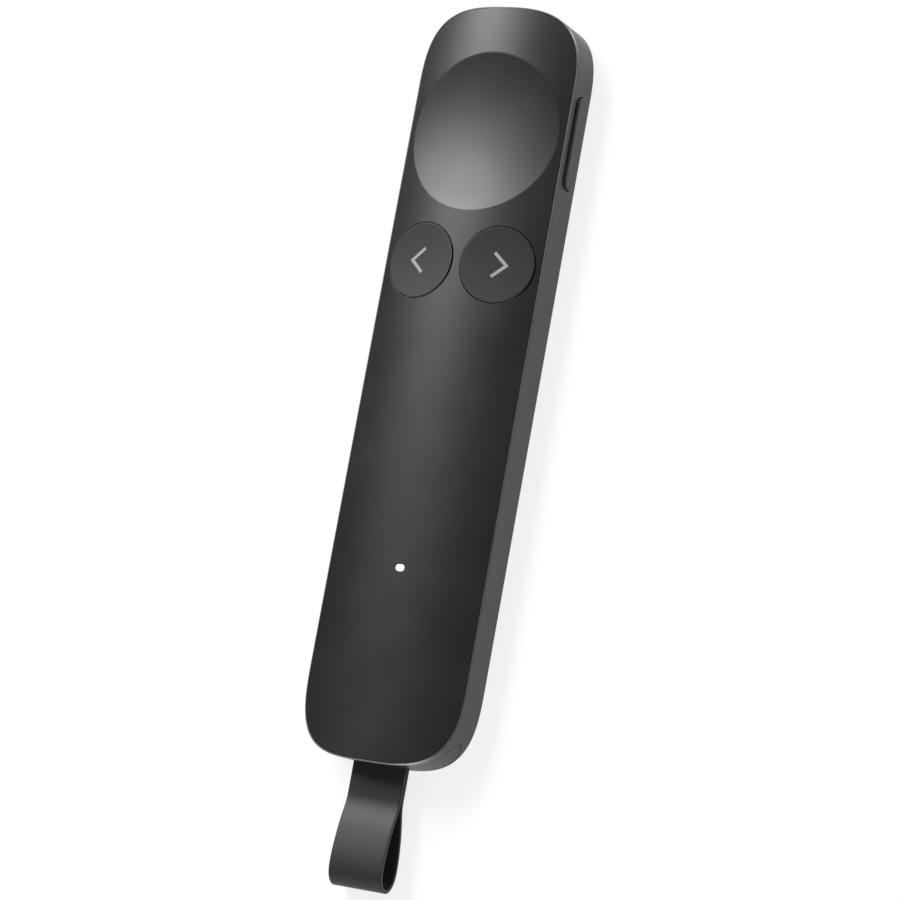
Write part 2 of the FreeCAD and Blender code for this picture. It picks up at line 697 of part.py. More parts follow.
def new_sketch(body, name, role, offset="0"):
    """Sketch on one of the body's own planes, lifted by a formula."""
    sketch = body.newObject("Sketcher::SketchObject", name)
    sketch.AttachmentSupport = [(role_plane(body, role), "")]
    sketch.MapMode = "FlatFace"
    sketch.setExpression(".AttachmentOffset.Base.z", bind(offset))
    return sketch


def draw_circle(sketch, radius):
    """Circle about the sketch's origin."""
    sketch.addGeometry(Part.Circle(Vector(), Vector(0, 0, 1), size(radius)), False)
    sketch.addConstraint(Sketcher.Constraint("Coincident", 0, 3, -1, 1))
    row = sketch.addConstraint(Sketcher.Constraint("Radius", 0, size(radius)))
    sketch.renameConstraint(row, "radius")
    sketch.setExpression("Constraints.radius", bind(radius))


def draw_slot(sketch, long_name, tall_name):
    """Stadium about the sketch's origin, long along its X axis."""
    tall = size(tall_name) / 2
    straight = size(long_name) / 2 - tall
    sketch.addGeometry(Part.LineSegment(Vector(-straight, tall, 0), Vector(straight, tall, 0)), False)
    right = Part.Circle(Vector(straight, 0, 0), Vector(0, 0, 1), tall)
    sketch.addGeometry(Part.ArcOfCircle(right, -math.pi / 2, math.pi / 2), False)
    sketch.addGeometry(Part.LineSegment(Vector(straight, -tall, 0), Vector(-straight, -tall, 0)), False)
    left = Part.Circle(Vector(-straight, 0, 0), Vector(0, 0, 1), tall)
    sketch.addGeometry(Part.ArcOfCircle(left, math.pi / 2, 3 * math.pi / 2), False)
    rules = [
        ("Tangent", 0, 2, 1, 2), ("Tangent", 1, 1, 2, 1), ("Tangent", 2, 2, 3, 2), ("Tangent", 3, 1, 0, 1),
        ("Horizontal", 0), ("PointOnObject", 1, 3, -1), ("Symmetric", 1, 3, 3, 3, -1, 1),
    ]
    for rule in rules:
        sketch.addConstraint(Sketcher.Constraint(*rule))
    row = sketch.addConstraint(Sketcher.Constraint("Radius", 1, tall))
    sketch.renameConstraint(row, "half_tall")
    sketch.setExpression("Constraints.half_tall", bind(f"{tall_name} / 2"))
    row = sketch.addConstraint(Sketcher.Constraint("DistanceX", -1, 1, 1, 3, straight))
    sketch.renameConstraint(row, "straight")
    sketch.setExpression("Constraints.straight", bind(f"({long_name} - {tall_name}) / 2"))


def draw_block(sketch, wide_name, tall_name):
    """Rectangle about the sketch's origin."""
    wide = size(wide_name) / 2
    tall = size(tall_name) / 2
    corners = [Vector(-wide, -tall, 0), Vector(wide, -tall, 0), Vector(wide, tall, 0), Vector(-wide, tall, 0)]
    for step in range(4):
        sketch.addGeometry(Part.LineSegment(corners[step], corners[(step + 1) % 4]), False)
    for step in range(4):
        sketch.addConstraint(Sketcher.Constraint("Coincident", step, 2, (step + 1) % 4, 1))
    for step in (0, 2):
        sketch.addConstraint(Sketcher.Constraint("Horizontal", step))
    for step in (1, 3):
        sketch.addConstraint(Sketcher.Constraint("Vertical", step))
    sketch.addConstraint(Sketcher.Constraint("Symmetric", 0, 1, 1, 2, -1, 1))
    row = sketch.addConstraint(Sketcher.Constraint("DistanceX", 0, 1, 0, 2, 2 * wide))
    sketch.renameConstraint(row, "wide")
    sketch.setExpression("Constraints.wide", bind(wide_name))
    row = sketch.addConstraint(Sketcher.Constraint("DistanceY", 1, 1, 1, 2, 2 * tall))
    sketch.renameConstraint(row, "tall")
    sketch.setExpression("Constraints.tall", bind(tall_name))


def pad(body, name, sketch, long, back=False):
    """Raise a sketch into the body."""
    feature = body.newObject("PartDesign::Pad", name)
    feature.Profile = sketch
    feature.Reversed = back
    feature.setExpression("Length", bind(long))
    doc.recompute()
    return feature


def arrow(side, grow, deep, lift):
    """Arrow mark in the button's own frame: a mitred stroke bent at its tip."""
    half = size("markStroke") / 2 + grow
    tip = size("markShift") + size("markReach") / 2
    tail = tip - size("markReach")
    slope = math.atan2(size("markSpread"), size("markReach"))
    mitre = half / math.sin(slope)
    step_x = half * math.sin(slope)
    step_y = half * math.cos(slope)
    spread = size("markSpread")
    outline_points = [
        (tip + mitre, 0),
        (tail + step_x, spread + step_y),
        (tail - step_x, spread - step_y),
        (tip - mitre, 0),
        (tail - step_x, step_y - spread),
        (tail + step_x, -spread - step_y),
    ]
    corners = [Vector(side * x, y, size("buttonProud") - deep) for x, y in outline_points]
    face = Part.Face(Part.makePolygon(corners + corners[:1]))
    return face.extrude(Vector(0, 0, deep + lift))


def button(name, side):
    """Round button: disc, two retaining tabs and a pusher post."""
    body = doc.addObject("PartDesign::Body", name + "_blank")
    disc = new_sketch(body, name + "_disc", "XY_Plane", "buttonProud")
    draw_circle(disc, "buttonRadius")
    top = pad(body, name + "_disc_pad", disc, "buttonThick", True)
    rim = [f"Edge{i + 1}" for i, edge in enumerate(top.Shape.Edges)
           if len(edge.Vertexes) == 1 and abs(edge.CenterOfMass.z - size("buttonProud")) < 1e-6]
    bevel = body.newObject("PartDesign::Chamfer", name + "_bevel")
    bevel.Base = (top, rim)
    bevel.setExpression("Size", bind("buttonBevel"))
    tabs = new_sketch(body, name + "_tabs", "XY_Plane", "buttonProud - buttonThick")
    draw_block(tabs, "tabWide", "tabSpan")
    pad(body, name + "_tab_pad", tabs, "tabThick", True)
    post = new_sketch(body, name + "_post", "XY_Plane", "buttonProud - buttonThick")
    draw_circle(post, "postRadius")
    pad(body, name + "_post_pad", post, post_long(side), True)
    recess = arrow(side, size("markFit"), size("markDeep") + size("markFit"), SKY)
    return fixed(name, body.Shape.cut(recess), button_seat(side))


def post_long(side):
    """Pusher long enough to stop just above the switch's dome at full travel."""
    seat = button_seat(side)
    tilt = abs(math.asin(size("buttonApart") / crown_radius()))
    under = seat.Base.z + (size("buttonProud") - size("buttonThick")) * math.cos(tilt)
    slack = size("buttonTravel") + size("postSlack") + size("postRadius") * math.sin(tilt)
    return round((under - size("domeTop") - slack) / math.cos(tilt), 3)


def button_mark(name, side):
    return fixed(name, arrow(side, 0, size("markDeep"), 0), button_seat(side))


def side_key():
    """Long key: stadium cap through the wall and a flange that keeps it in."""
    body = doc.addObject("PartDesign::Body", "side_key")
    cap = new_sketch(body, "key_cap", "YZ_Plane", "keyFoot")
    draw_slot(cap, "keyLong", "keyTall")
    top = pad(body, "key_cap_pad", cap, "keyDeep")
    far = size("halfWide") + size("keyProud")
    rim = [f"Edge{i + 1}" for i, edge in enumerate(top.Shape.Edges) if abs(edge.CenterOfMass.x - far) < 1e-6]
    bevel = body.newObject("PartDesign::Fillet", "key_round")
    bevel.Base = (top, rim)
    bevel.setExpression("Radius", bind("keyBevel"))
    flange = new_sketch(body, "key_flange", "YZ_Plane", "keyFoot")
    draw_slot(flange, "flangeLong", "keyTall")
    pad(body, "key_flange_pad", flange, "keyFlange")
    put(body, "0", "padPlace", "keyMiddle")
    return body


def tactile_switch(name, x, y):
    """Low square switch with a dome on top."""
    foot = "boardFoot + boardThick"
    base = block(name + "_base", "switchWide", "switchWide", "switchTall", x, y, foot)
    dome = rod(name + "_dome", "domeRadius", "domeTall + domeSink", x, y, f"{foot} + switchTall - domeSink")
    return joined(name, base, dome)


def side_switch():
    """Edge switch under the board, its plunger facing the key."""
    foot = "boardFoot - edgeTall"
    middle = "nubEnd - nubLong + domeSink - edgeWide / 2"
    base = block("side_switch_base", "edgeWide", "edgeLong", "edgeTall", middle, "padPlace", foot)
    nub = rod("side_switch_nub", "nubRadius", "nubLong", "nubEnd - nubLong", "padPlace",
              "boardFoot - edgeTall / 2", "X")
    return joined("side_switch", base, nub)


# Boards and what they carry

def main_board():
    middle = "(boardHead + boardTail) / 2"
    board = block("main_board_blank", "boardWide", "boardHead - boardTail", "boardThick",
                  "0", middle, "boardFoot")
    holes = [rod(f"board_hole_{i}", "screwRadius + screwFit", "boardThick + 2 * cutOver",
                 x, y, "boardFoot - cutOver") for i, (x, y) in enumerate(screw_formulas())]
    notches = []
    for i, side in enumerate((-1, 1)):
        notches.append(block(f"board_corner_{i}", "2 * cornerCut", "2 * cornerCut",
                             "boardThick + 2 * cutOver",
                             f"{side} * boardWide / 2", "boardHead", "boardFoot - cutOver"))
    return minus("main_board", board, *holes, *notches)


def screw_formulas():
    """The board screws' places as formulas on the sheet."""
    near = "(boardTail + boardScrewInset)"
    far = "(boardHead - boardScrewInset)"
    return [(f"{side} * boardScrewApart", y) for side in (-1, 1) for y in (near, far)]


def screw(name, x, y, foot, shank_long, head_up):
    """Pan head screw; the head is above the shank or below it."""
    head = rod(name + "_head", "screwHead", "screwHeadTall", x, y, foot)
    long = f"{shank_long} + rootSink"
    if head_up:
        shank_foot = f"{foot} - ({shank_long})"
        slot_foot = f"{foot} + screwHeadTall - slotDeep"
    else:
        shank_foot = f"{foot} + screwHeadTall - rootSink"
        slot_foot = f"{foot} - cutOver"
    shank = rod(name + "_shank", "screwRadius", long, x, y, shank_foot)
    slot = block(name + "_slot", "slotLong", "slotWide", "slotDeep + cutOver", x, y, slot_foot)
    return minus(name, joined(name + "_turned", head, shank), slot)


def board_screws():
    top = "boardFoot + boardThick"
    screws = [screw(f"board_screw_{i}", x, y, top, "boardScrewLong", True)
              for i, (x, y) in enumerate(screw_formulas())]
    return group("board_screws", *screws)


def cover_screws():
    long = "(coverScrewLong - rootSink)"
    screws = [screw(f"cover_screw_{i}", f"{side} * bossApart", place, "floorFoot", long, False)
              for i, (side, place) in enumerate(BOSSES)]
    return group("cover_screws", *screws)


def radio_shield():
    """Sheet metal lid under the board, open towards it."""
    foot = "boardFoot - shieldTall"
    lid = block("shield_lid", "shieldWide", "shieldLong", "shieldTall", "0", "shieldPlace", foot)
    room = block("shield_room", "shieldWide - 2 * shieldSheet", "shieldLong - 2 * shieldSheet", "shieldTall",
                 "0", "shieldPlace", f"{foot} + shieldSheet")
    return minus("radio_shield", lid, room)


def chip(name, wide, long, tall, x, y, foot):
    """Chip package with a dimple in one corner."""
    blank = block(name + "_blank", wide, long, tall, x, y, foot)
    dot = rod(name + "_dot", "dotRadius", "dotDeep + cutOver", f"({x}) - {wide} / 2 + dotInset",
              f"({y}) + {long} / 2 - dotInset", f"({foot}) + {tall} - dotDeep")
    return minus(name, blank, dot)


def haptic_motor():
    """Coin motor on the chassis floor with its raised hub."""
    can = rod("motor_can", "motorRadius", "motorTall - hubTall", "0", "motorPlace", "floorTop")
    hub = rod("motor_hub", "motorRadius - hubStep", "motorTall", "0", "motorPlace", "floorTop")
    return joined("haptic_motor", can, hub)


def antenna_board():
    """Thin aerial board stood against the chassis rail behind the head cap."""
    place = "railPlace + railThick + antennaGap + antennaThick / 2"
    board = block("antenna_blank", "antennaWide", "antennaThick", "antennaTall", "0", place, "floorTop")
    top = "floorTop + antennaTall - slitTall"
    slits = [block(f"antenna_slit_{i}", "slitWide", "antennaThick + 2 * cutOver", "slitTall + cutOver",
                   f"{i - 2} * slitApart", place, top) for i in range(5)]
    return minus("antenna_board", board, *slits)


def battery():
    """Pouch cell with rounded long edges and a folded seal at its head end."""
    long = "(batteryLong - sealLong)"
    middle = "batteryPlace - sealLong / 2"
    cell = block("cell_blank", "batteryWide", long, "batteryThick", "0", middle, "cellFoot")
    edges = [(i + 1, size("cellRound"), size("cellRound")) for i, edge in enumerate(recomputed(cell).Edges)
             if abs(edge.tangentAt(edge.FirstParameter).y) > 0.9]
    soft = doc.addObject("Part::Fillet", "cell_round")
    soft.Base = cell
    soft.Edges = edges
    seal = block("cell_seal", "batteryWide - sealShort", "sealLong + sealLap", "sealThick", "0",
                 "cellEnd - (sealLong + sealLap) / 2", "cellFoot + batteryThick / 2")
    return joined("battery", soft, seal)


def recomputed(piece):
    """A piece's shape once the document is up to date."""
    doc.recompute()
    return piece.Shape


def battery_foam():
    return block("battery_foam", "batteryWide - sealShort", "batteryLong - foamShort", "foamThick", "0",
                 "batteryPlace", "floorTop")


def link_flex():
    """Flat link: along over the cell, down past its end, on to the main board."""
    drop = "(cellEnd + flexBack)"
    start = "(tailBoardHead - flexOver)"
    board_top = "(boardFoot + boardThick)"
    over = block("flex_over", "flexWide", f"{drop} - {start} + flexThick", "flexThick",
                 "0", f"({drop} + {start} + flexThick) / 2", "tailTop")
    fall = block("flex_fall", "flexWide", "flexThick", f"tailTop + flexThick - {board_top}",
                 "0", f"{drop} + flexThick / 2", board_top)
    foot = block("flex_foot", "flexWide", f"boardTail + flexLap - {drop}", "flexThick",
                 "0", f"(boardTail + flexLap + {drop}) / 2", board_top)
    return joined("link_flex", over, fall, foot)


def tail_board():
    """Board over the receiver's bay, one corner notched for a finger when it is fitted."""
    middle = "(tailBoardHead + tailBoardTail) / 2"
    board = block("tail_board_blank", "tailBoardWide", "tailBoardHead - tailBoardTail", "boardThick",
                  "0", middle, "tailFoot")
    notch = block("tail_board_notch", "2 * notchWide", "2 * notchLong", "boardThick + 2 * cutOver",
                  "tailBoardWide / 2", "tailBoardHead", "tailFoot - cutOver")
    return minus("tail_board", board, notch)


def sleeve(name, wide, tall, long, x, near, foot):
    """Flat oval sheet metal tube along Y, as on a small connector."""
    outer = tube_bar(wide, tall, long, x, near, foot, 0.0)
    bore = tube_bar(wide, tall, long, x, near, foot, size("contactSheet"))
    return fixed(name, outer.cut(bore))


def tube_bar(wide, tall, long, x, near, foot, wall):
    """Stadium bar for a connector sleeve, drawn in by wall."""
    turn = Placement(Vector(x, near, foot + tall / 2), Rotation())
    return rounded_slot(wide / 2 - wall, tall / 2 - wall, long, turn)


def charge_socket():
    """Charge socket under the tail board: a sleeve closed at its inner end."""
    section = (size("socketWide"), size("socketTall"))
    foot = size("tailFoot") - size("socketTall")
    place = (size("socketPlace"), size("socketMouth"), foot)
    tube = tube_bar(*section, size("socketLong"), *place, 0.0)
    bore = tube_bar(*section, size("socketLong") - size("socketWall"), *place, size("contactSheet"))
    return fixed("charge_socket", tube.cut(bore))


def charge_tongue():
    room = "(socketLong - socketWall)"
    return block("charge_tongue", "socketWide - 2 * tongueSide", f"{room} - 2 * tongueEnd", "tongueThick",
                 "socketPlace", f"socketMouth + {room} / 2", "tailFoot - socketTall / 2 - tongueThick / 2")


def status_lamp():
    """Surface lamp under the light pipe."""
    return block("status_lamp", "lampChipWide", "lampChipLong", "lampTall", "0", "lampPlace", "tailTop")


# Receiver, tail plug and strap, which pull out together

def tail_plug():
    """Plug that closes the tail: follows the outline outside, flat inside."""
    end = size("halfLong") + size("cutOver")
    shape = prism(0, 0, SKY).common(plug_bar(0, -end, size("plugFace")))
    slot_half = size("strapHalf") + size("strapFit")
    slot_tall = 2 * (size("strapThick") + size("strapParting") + size("strapFit"))
    long = size("strapTuck") + size("strapFit") + size("cutOver")
    slot = Part.makeBox(2 * slot_half, long, slot_tall,
                        Vector(-slot_half, -end, size("strapMiddle") - slot_tall / 2))
    hole = pin_bar(size("pinRadius") + size("pinFit"), slot_half + size("pinPast") + size("pinEnd"))
    mouth = Vector(size("magnetPlace"), size("plugFace") + size("magnetFit"), size("plugMiddle"))
    seat_long = size("magnetLong") + 2 * size("magnetFit")
    seat = Part.makeCylinder(size("magnetRadius") + size("magnetFit"), seat_long, mouth, Vector(0, -1, 0))
    return fixed("tail_plug", shape.cut(slot).cut(hole).cut(seat))


def pin_bar(radius, half_long):
    """Round bar across the strap's slot."""
    y = size("strapTuck") - size("pinBack") - size("halfLong")
    start = Vector(-half_long, y, size("strapMiddle"))
    return Part.makeCylinder(radius, 2 * half_long, start, Vector(1, 0, 0))


def strap_pin():
    half_long = size("strapHalf") + size("strapFit") + size("pinPast")
    return fixed("strap_pin", pin_bar(size("pinRadius"), half_long))


def strap_line():
    """Mid line of the strap's loose loop: a drop that starts and ends doubled."""
    tail = -size("halfLong")
    half = size("strapThick") / 2
    middle = size("strapMiddle")
    apart = half + size("strapParting")
    high = size("strapHigh") - half
    low = size("strapLow") + half
    reach = size("strapReach")
    nose = tail - reach + half
    points = [
        (tail - 0.26 * reach, middle + apart),
        (tail - 0.45 * reach, middle + 0.42 * (high - middle) + 0.25),
        (tail - 0.62 * reach, high - 0.35),
        (tail - 0.80 * reach, high),
        (nose + 0.9, high - 0.75),
        (nose, (high + low) / 2),
        (nose + 0.9, low + 0.75),
        (tail - 0.80 * reach, low),
        (tail - 0.62 * reach, low + 0.35),
        (tail - 0.45 * reach, middle - 0.42 * (middle - low) - 0.25),
        (tail - 0.26 * reach, middle - apart),
    ]
    curve = Part.BSplineCurve()
    spots = [Vector(0, y, z) for y, z in points]
    curve.interpolate(Points=spots, InitialTangent=Vector(0, -1, 0), FinalTangent=Vector(0, 1, 0))
    return curve


def strap_edge(line, shift):
    """The loop's mid line moved sideways by shift, as a list of places."""
    steps = 40
    places = []
    for step in range(steps + 1):
        at = line.FirstParameter + (line.LastParameter - line.FirstParameter) * step / steps
        run = line.tangent(at)[0]
        places.append(line.value(at) + Vector(0, -run.z, run.y) * shift)
    return places


def wrist_strap():
    """Flat strap folded back on itself: two flat plies in the plug, then a loop."""
    line = strap_line()
    inside = size("strapTuck") - size("halfLong")
    edges = []
    ends = []
    for shift in (size("strapThick") / 2, -size("strapThick") / 2):
        places = strap_edge(line, shift)
        curve = Part.BSplineCurve()
        curve.interpolate(Points=places, InitialTangent=Vector(0, -1, 0), FinalTangent=Vector(0, 1, 0))
        first = Vector(0, inside, places[0].z)
        last = Vector(0, inside, places[-1].z)
        edges += [Part.makeLine(first, places[0]), curve.toShape(), Part.makeLine(places[-1], last)]
        ends.append((first, last))
    caps = [Part.makeLine(ends[0][i], ends[1][i]) for i in (0, 1)]
    ring = Part.Wire([edges[0], edges[1], edges[2], caps[1], edges[5], edges[4], edges[3], caps[0]])
    half = size("strapHalf")
    face = Part.Face(ring)
    face.translate(Vector(-half, 0, 0))
    shape = face.extrude(Vector(2 * half, 0, 0))
    pin_hole = pin_bar(size("pinRadius") + size("pinFit"), half + size("cutOver"))
    return fixed("wrist_strap", shape.cut(pin_hole))


def receiver_body():
    """Receiver's moulded body with room for its board, open towards its shell."""
    blank = block("receiver_blank", "receiverWide", "receiverLong", "receiverThick", "receiverPlace",
                  "receiverStart + receiverLong / 2", "receiverFoot")
    room = block("receiver_room", "receiverWide - 2 * receiverWall", "receiverLong", "receiverRoom",
                 "receiverPlace", "receiverStart + receiverLong / 2 + receiverWall",
                 "receiverLevel - receiverRoom / 2")
    return minus("receiver_body", blank, room)


def receiver_board():
    long = "(receiverLong - receiverWall - 2 * receiverFit)"
    wide = "receiverWide - 2 * (receiverWall + receiverFit)"
    middle = f"receiverStart + receiverWall + receiverFit + {long} / 2"
    return block("receiver_board", wide, long, "receiverBoardThick", "receiverPlace", middle,
                 "receiverLevel - receiverRoom / 2 + touchGap")


def receiver_shell():
    foot = size("receiverLevel") - size("contactThick") / 2
    return sleeve("receiver_shell", size("contactWide"), size("contactThick"), size("contactLong"),
                  size("receiverPlace"), size("shellStart"), foot)


def receiver_tongue():
    long = "(contactLong - receiverTip)"
    return block("receiver_tongue", "contactWide - 2 * receiverTongueSide", long, "tongueThick",
                 "receiverPlace", f"shellStart + touchGap + {long} / 2", "receiverLevel - tongueThick / 2")


def magnet(name, near):
    return rod(name, "magnetRadius", "magnetLong", "magnetPlace", near, "plugMiddle", "Y")


NODES = [
    side_frame(), head_cap(), front_cover(), rear_cover(), back_tape(), chassis(),
    pointer_pad(),
    button("back_button", -1), button_mark("back_mark", -1),
    button("next_button", 1), button_mark("next_mark", 1),
    side_key(),
    tactile_switch("pad_switch", "0", "padPlace"),
    tactile_switch("back_switch", "-buttonApart", "buttonPlace"),
    tactile_switch("next_switch", "buttonApart", "buttonPlace"),
    side_switch(),
    main_board(), board_screws(), cover_screws(), radio_shield(),
    chip("radio_chip", "radioWide", "radioWide", "chipTall", "0", "shieldPlace", "boardFoot - chipTall"),
    chip("processor_chip", "processorWide", "processorWide", "chipLow", "-processorSide",
         "padPlace - processorBack", "boardFoot + boardThick"),
    chip("motion_sensor", "smallChip", "smallChip", "chipTall", "motionSide", "padPlace - motionBack",
         "boardFoot - chipTall"),
    chip("charger_chip", "smallChip", "smallChip", "chipLow", "chargerSide", "tailBoardHead - chargerBack",
         "tailFoot - chipLow"),
    haptic_motor(), antenna_board(), battery(), battery_foam(), link_flex(),
    tail_board(), status_lamp(), light_pipe(), charge_socket(), charge_tongue(),
    magnet("bay_magnet", "plugFace + magnetBack"),
    tail_plug(), magnet("plug_magnet", "plugFace - magnetLong"), strap_pin(), wrist_strap(),
    receiver_body(), receiver_board(), receiver_shell(), receiver_tongue(),
]


def check_and_write():
    """Refuse a failed document, then write one file for each sub-part."""
    doc.recompute()
    for item in doc.Objects:
        faults = [word for word in item.State if word in ("Invalid", "Error")]
        if faults:
            raise SystemExit(f"{item.Name} failed: {faults}")
    for node in NODES:
        shape = node.Shape
        if shape.isNull() or not shape.isValid() or shape.Volume <= 0:
            raise SystemExit(f"{node.Name} has no sound shape")
        box = shape.BoundBox
        print(f"{node.Name:16s} solids {len(shape.Solids)} volume {shape.Volume:9.2f} "
              f"x {box.XMin:7.2f} {box.XMax:7.2f} y {box.YMin:7.2f} {box.YMax:7.2f} "
              f"z {box.ZMin:6.2f} {box.ZMax:6.2f}")
    for node in NODES:
        node.Label = node.Name
        node.Shape.exportStep(f"parts/{node.Name}.step")
    print(len(NODES), "nodes written")


check_and_write()
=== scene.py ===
import json
import math

import bmesh
import bpy
import numpy as np
from mathutils import Matrix, Vector
from mathutils.geometry import delaunay_2d_cdt


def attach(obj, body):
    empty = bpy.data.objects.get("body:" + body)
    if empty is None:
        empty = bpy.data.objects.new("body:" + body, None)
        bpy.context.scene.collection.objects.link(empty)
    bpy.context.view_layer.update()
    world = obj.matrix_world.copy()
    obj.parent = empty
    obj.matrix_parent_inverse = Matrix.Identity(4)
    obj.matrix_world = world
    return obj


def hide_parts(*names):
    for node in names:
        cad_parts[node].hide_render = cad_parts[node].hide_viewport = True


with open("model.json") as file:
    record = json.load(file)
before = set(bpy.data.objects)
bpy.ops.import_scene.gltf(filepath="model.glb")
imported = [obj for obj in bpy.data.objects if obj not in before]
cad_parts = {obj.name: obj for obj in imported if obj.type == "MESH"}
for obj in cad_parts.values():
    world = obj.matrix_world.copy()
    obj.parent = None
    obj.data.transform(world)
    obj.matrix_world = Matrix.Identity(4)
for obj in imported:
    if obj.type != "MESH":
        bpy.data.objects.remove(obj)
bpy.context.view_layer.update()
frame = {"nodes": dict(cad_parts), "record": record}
mm = 0.001  # every size below is in millimetres, every mesh in metres

# One dictionary for each piece. The casing's outline and crown are the CAD frame's own, and its ends
# are superellipses. "place" is a y, "foot" a z and every "...Steps" a count.
casing = {
    "length": 131.3,
    "width": 30.7,
    "wall": 6.2,            # height of the flat side wall
    "crown": 2.64,          # swell of the face above the wall
    "headCorner": 15.0,     # length of the rounded end, and its power n
    "headPower": 3.16,
    "tailCorner": 16.3,
    "tailPower": 3.35,
    "headSeam": 59.7,
    "seam": 0.04,
    "lip": 0.3,             # the frame's thin edge round both covers
    "cornerSteps": 1500,
    "ringSteps": 720,       # places on a ring round the whole casing
}
coverPlate = {
    "thick": 0.79,
    "round": 0.05,
    "roundSteps": 5,
    "shadeRings": (0.1, 0.05),  # flat rings beside each rounded edge, which keep the face's shading true
    "dishDraw": 0.3,            # the dish's rim is rounded by this share
    "lattice": (0.9, 1.1),      # steps across and along between the edges
}
rearSheet = {"thick": 0.49, "round": 0.05, "roundSteps": 5, "lattice": (3, 3)}
sideBand = {
    "wall": 1.0,                  # thickness between the two steps
    "bevel": 0.22,
    # painted highlight: a lighter colour on the bevels, standing in for the lights' reflection along the
    # edges
    "bevelHighlight": "#7c7c7e",
    "shelf": (0.44, 0.45, 0.46),  # the step that the rear sheet sits on, and the rows beside it
    "coverFit": 0.02,
    "coverRows": 0.01,            # rows this far from the front cover's step
    "column": 0.45,               # step along the wall
    "rungs": 9,                   # steps up each end of the strip
    "rungFoot": 0.6,
    "rungShort": 1.6,
    "rows": (0.12, 0.88, 7),      # rows between the two steps: first share, last share, count
    "rimClear": 0.03,             # how far the level lines keep off the holes
    "rowClear": 0.12,             # and the rows between them
    "bevelLean": (0.5, 0.87),     # upward part of a bevel's normal
}
dishPad = {
    "radius": 14.15, "gap": 0.012, "deep": 1.15,
    "place": 43.35, "foot": 5.75,
    "round": 0.012, "roundSteps": 5, "rings": 46, "ringSteps": 260,
}
buttons = {
    "radius": 6.65, "gap": 0.11, "apart": 7.47, "place": 20.2, "proud": 0.04, "thick": 1.2,
    "hollow": 0.2,
    "bend": 0.55,           # share of the crown's fall that the top follows
    "round": 0.07, "roundSteps": 7, "rings": 24, "ringSteps": 160, "holeSteps": 140,
}
arrows = {
    "reach": 2.4, "shift": 0.5, "spread": 2.1, "stroke": 0.56, "thick": 0.2, "proud": 0.012, "steps": 25,
}
sideKey = {
    "long": 16.4, "tall": 3.4, "middle": 3.0, "proud": 0.5, "gap": 0.14,
    "back": 14.15,          # x of the key's inner face
    "round": 0.3, "roundSteps": 7, "rings": 6, "ringSteps": 120, "holeSteps": 64,
    "ridge": 0.02,          # half height of the innermost ring
}
tailPlug = {
    "half": 14.0, "tall": 5.2, "middle": 3.2, "gap": 0.1, "round": 0.12, "roundSteps": 4,
    "back": -59.8,          # y of the plug's inner side
    "ringSteps": (33, 60),  # places on each half circle and along each straight side
    "holeSteps": (72, 120), "slotSteps": 24, "faceLattice": (0.5, 0.6), "backLattice": (2, 2),
}
lamp = {
    "place": -32.9, "long": 1.6, "wide": 1.12, "foot": 6.55, "gap": 0.02, "glow": 1.1, "ringSteps": 60,
    "rings": ((0.54, 0), (0.3, 0), (0.05, 0), (0.01, 0.02), (0, 0.05)),  # drawn in, sunk
}
strap = {
    "half": 5.1, "thick": 0.62, "reach": 20.8, "low": 0.15, "high": 5.45, "middle": 2.88,
    "parting": 0.05,        # half the gap between the plies
    "tuck": 2.6, "slotFit": 0.12, "round": 0.13, "roundSteps": 5, "acrossSteps": 16,
    "stations": (0.26, 0.45, 0.62, 0.80),   # shares of the reach at which the loop is set out
    "flare": (0.42, 0.25),  # at the second station: share of the full spread, and a lift
    "shoulder": 0.35,       # drop from full spread at the third station
    "nose": (0.9, 0.75),    # the last places before the nose: back from it, and in from full spread
    "loopSteps": 150, "leadSteps": 14,
    "sharp": 40,            # degrees from which the strap's edges stay sharp
}
joining = {
    "merge": 0.0008,        # places nearer than this become one
    "sliver": 0.0002,       # faces thinner than this go
    "plan": 1e-7,           # the same for a flat plan
    "onEdge": 1e-8,         # squared distance at which a place is on an edge
    "offEdge": 0.12,        # squared lattice steps that a lattice keeps off the edges
    "level": 1e-12,         # rise of a level edge, so that nothing is divided by zero
    "sharp": 32,            # degrees from which an edge stays sharp
    "stadiumSide": 8,       # places on each straight side of a stadium
}

halfWide = casing["width"] / 2
halfLong = casing["length"] / 2
crownRadius = (halfWide ** 2 + casing["crown"] ** 2) / (2 * casing["crown"])
faceTop = casing["wall"] + casing["crown"]
coverEdge = casing["lip"] + casing["seam"]


def crownHeight(x):
    # height of the face: a circle's middle plus the root of its radius squared less x squared
    return faceTop - crownRadius + np.sqrt(crownRadius ** 2 - np.asarray(x, float) ** 2)


def crownFall(x):
    # how far that circle has fallen from its top
    return crownRadius - np.sqrt(crownRadius ** 2 - np.asarray(x, float) ** 2)


def arcRadius(half, sag):
    # radius of the arc that rises by sag over a half chord
    return (half ** 2 + sag ** 2) / (2 * sag)


def dishHeight(x, y):
    # the scoop: an hourglass lying along the casing, hollow along it and a little swollen across,
    # its two radii chosen so that it meets the crown on a circle
    deep, radius = dishPad["deep"], dishPad["radius"]
    waist = arcRadius(radius, float(crownFall(radius)) - deep)
    flare = arcRadius(radius, deep)
    girthAt = waist + flare - np.sqrt(flare ** 2 - (np.asarray(y, float) - dishPad["place"]) ** 2)
    return faceTop - deep - waist + np.sqrt(girthAt ** 2 - np.asarray(x, float) ** 2)


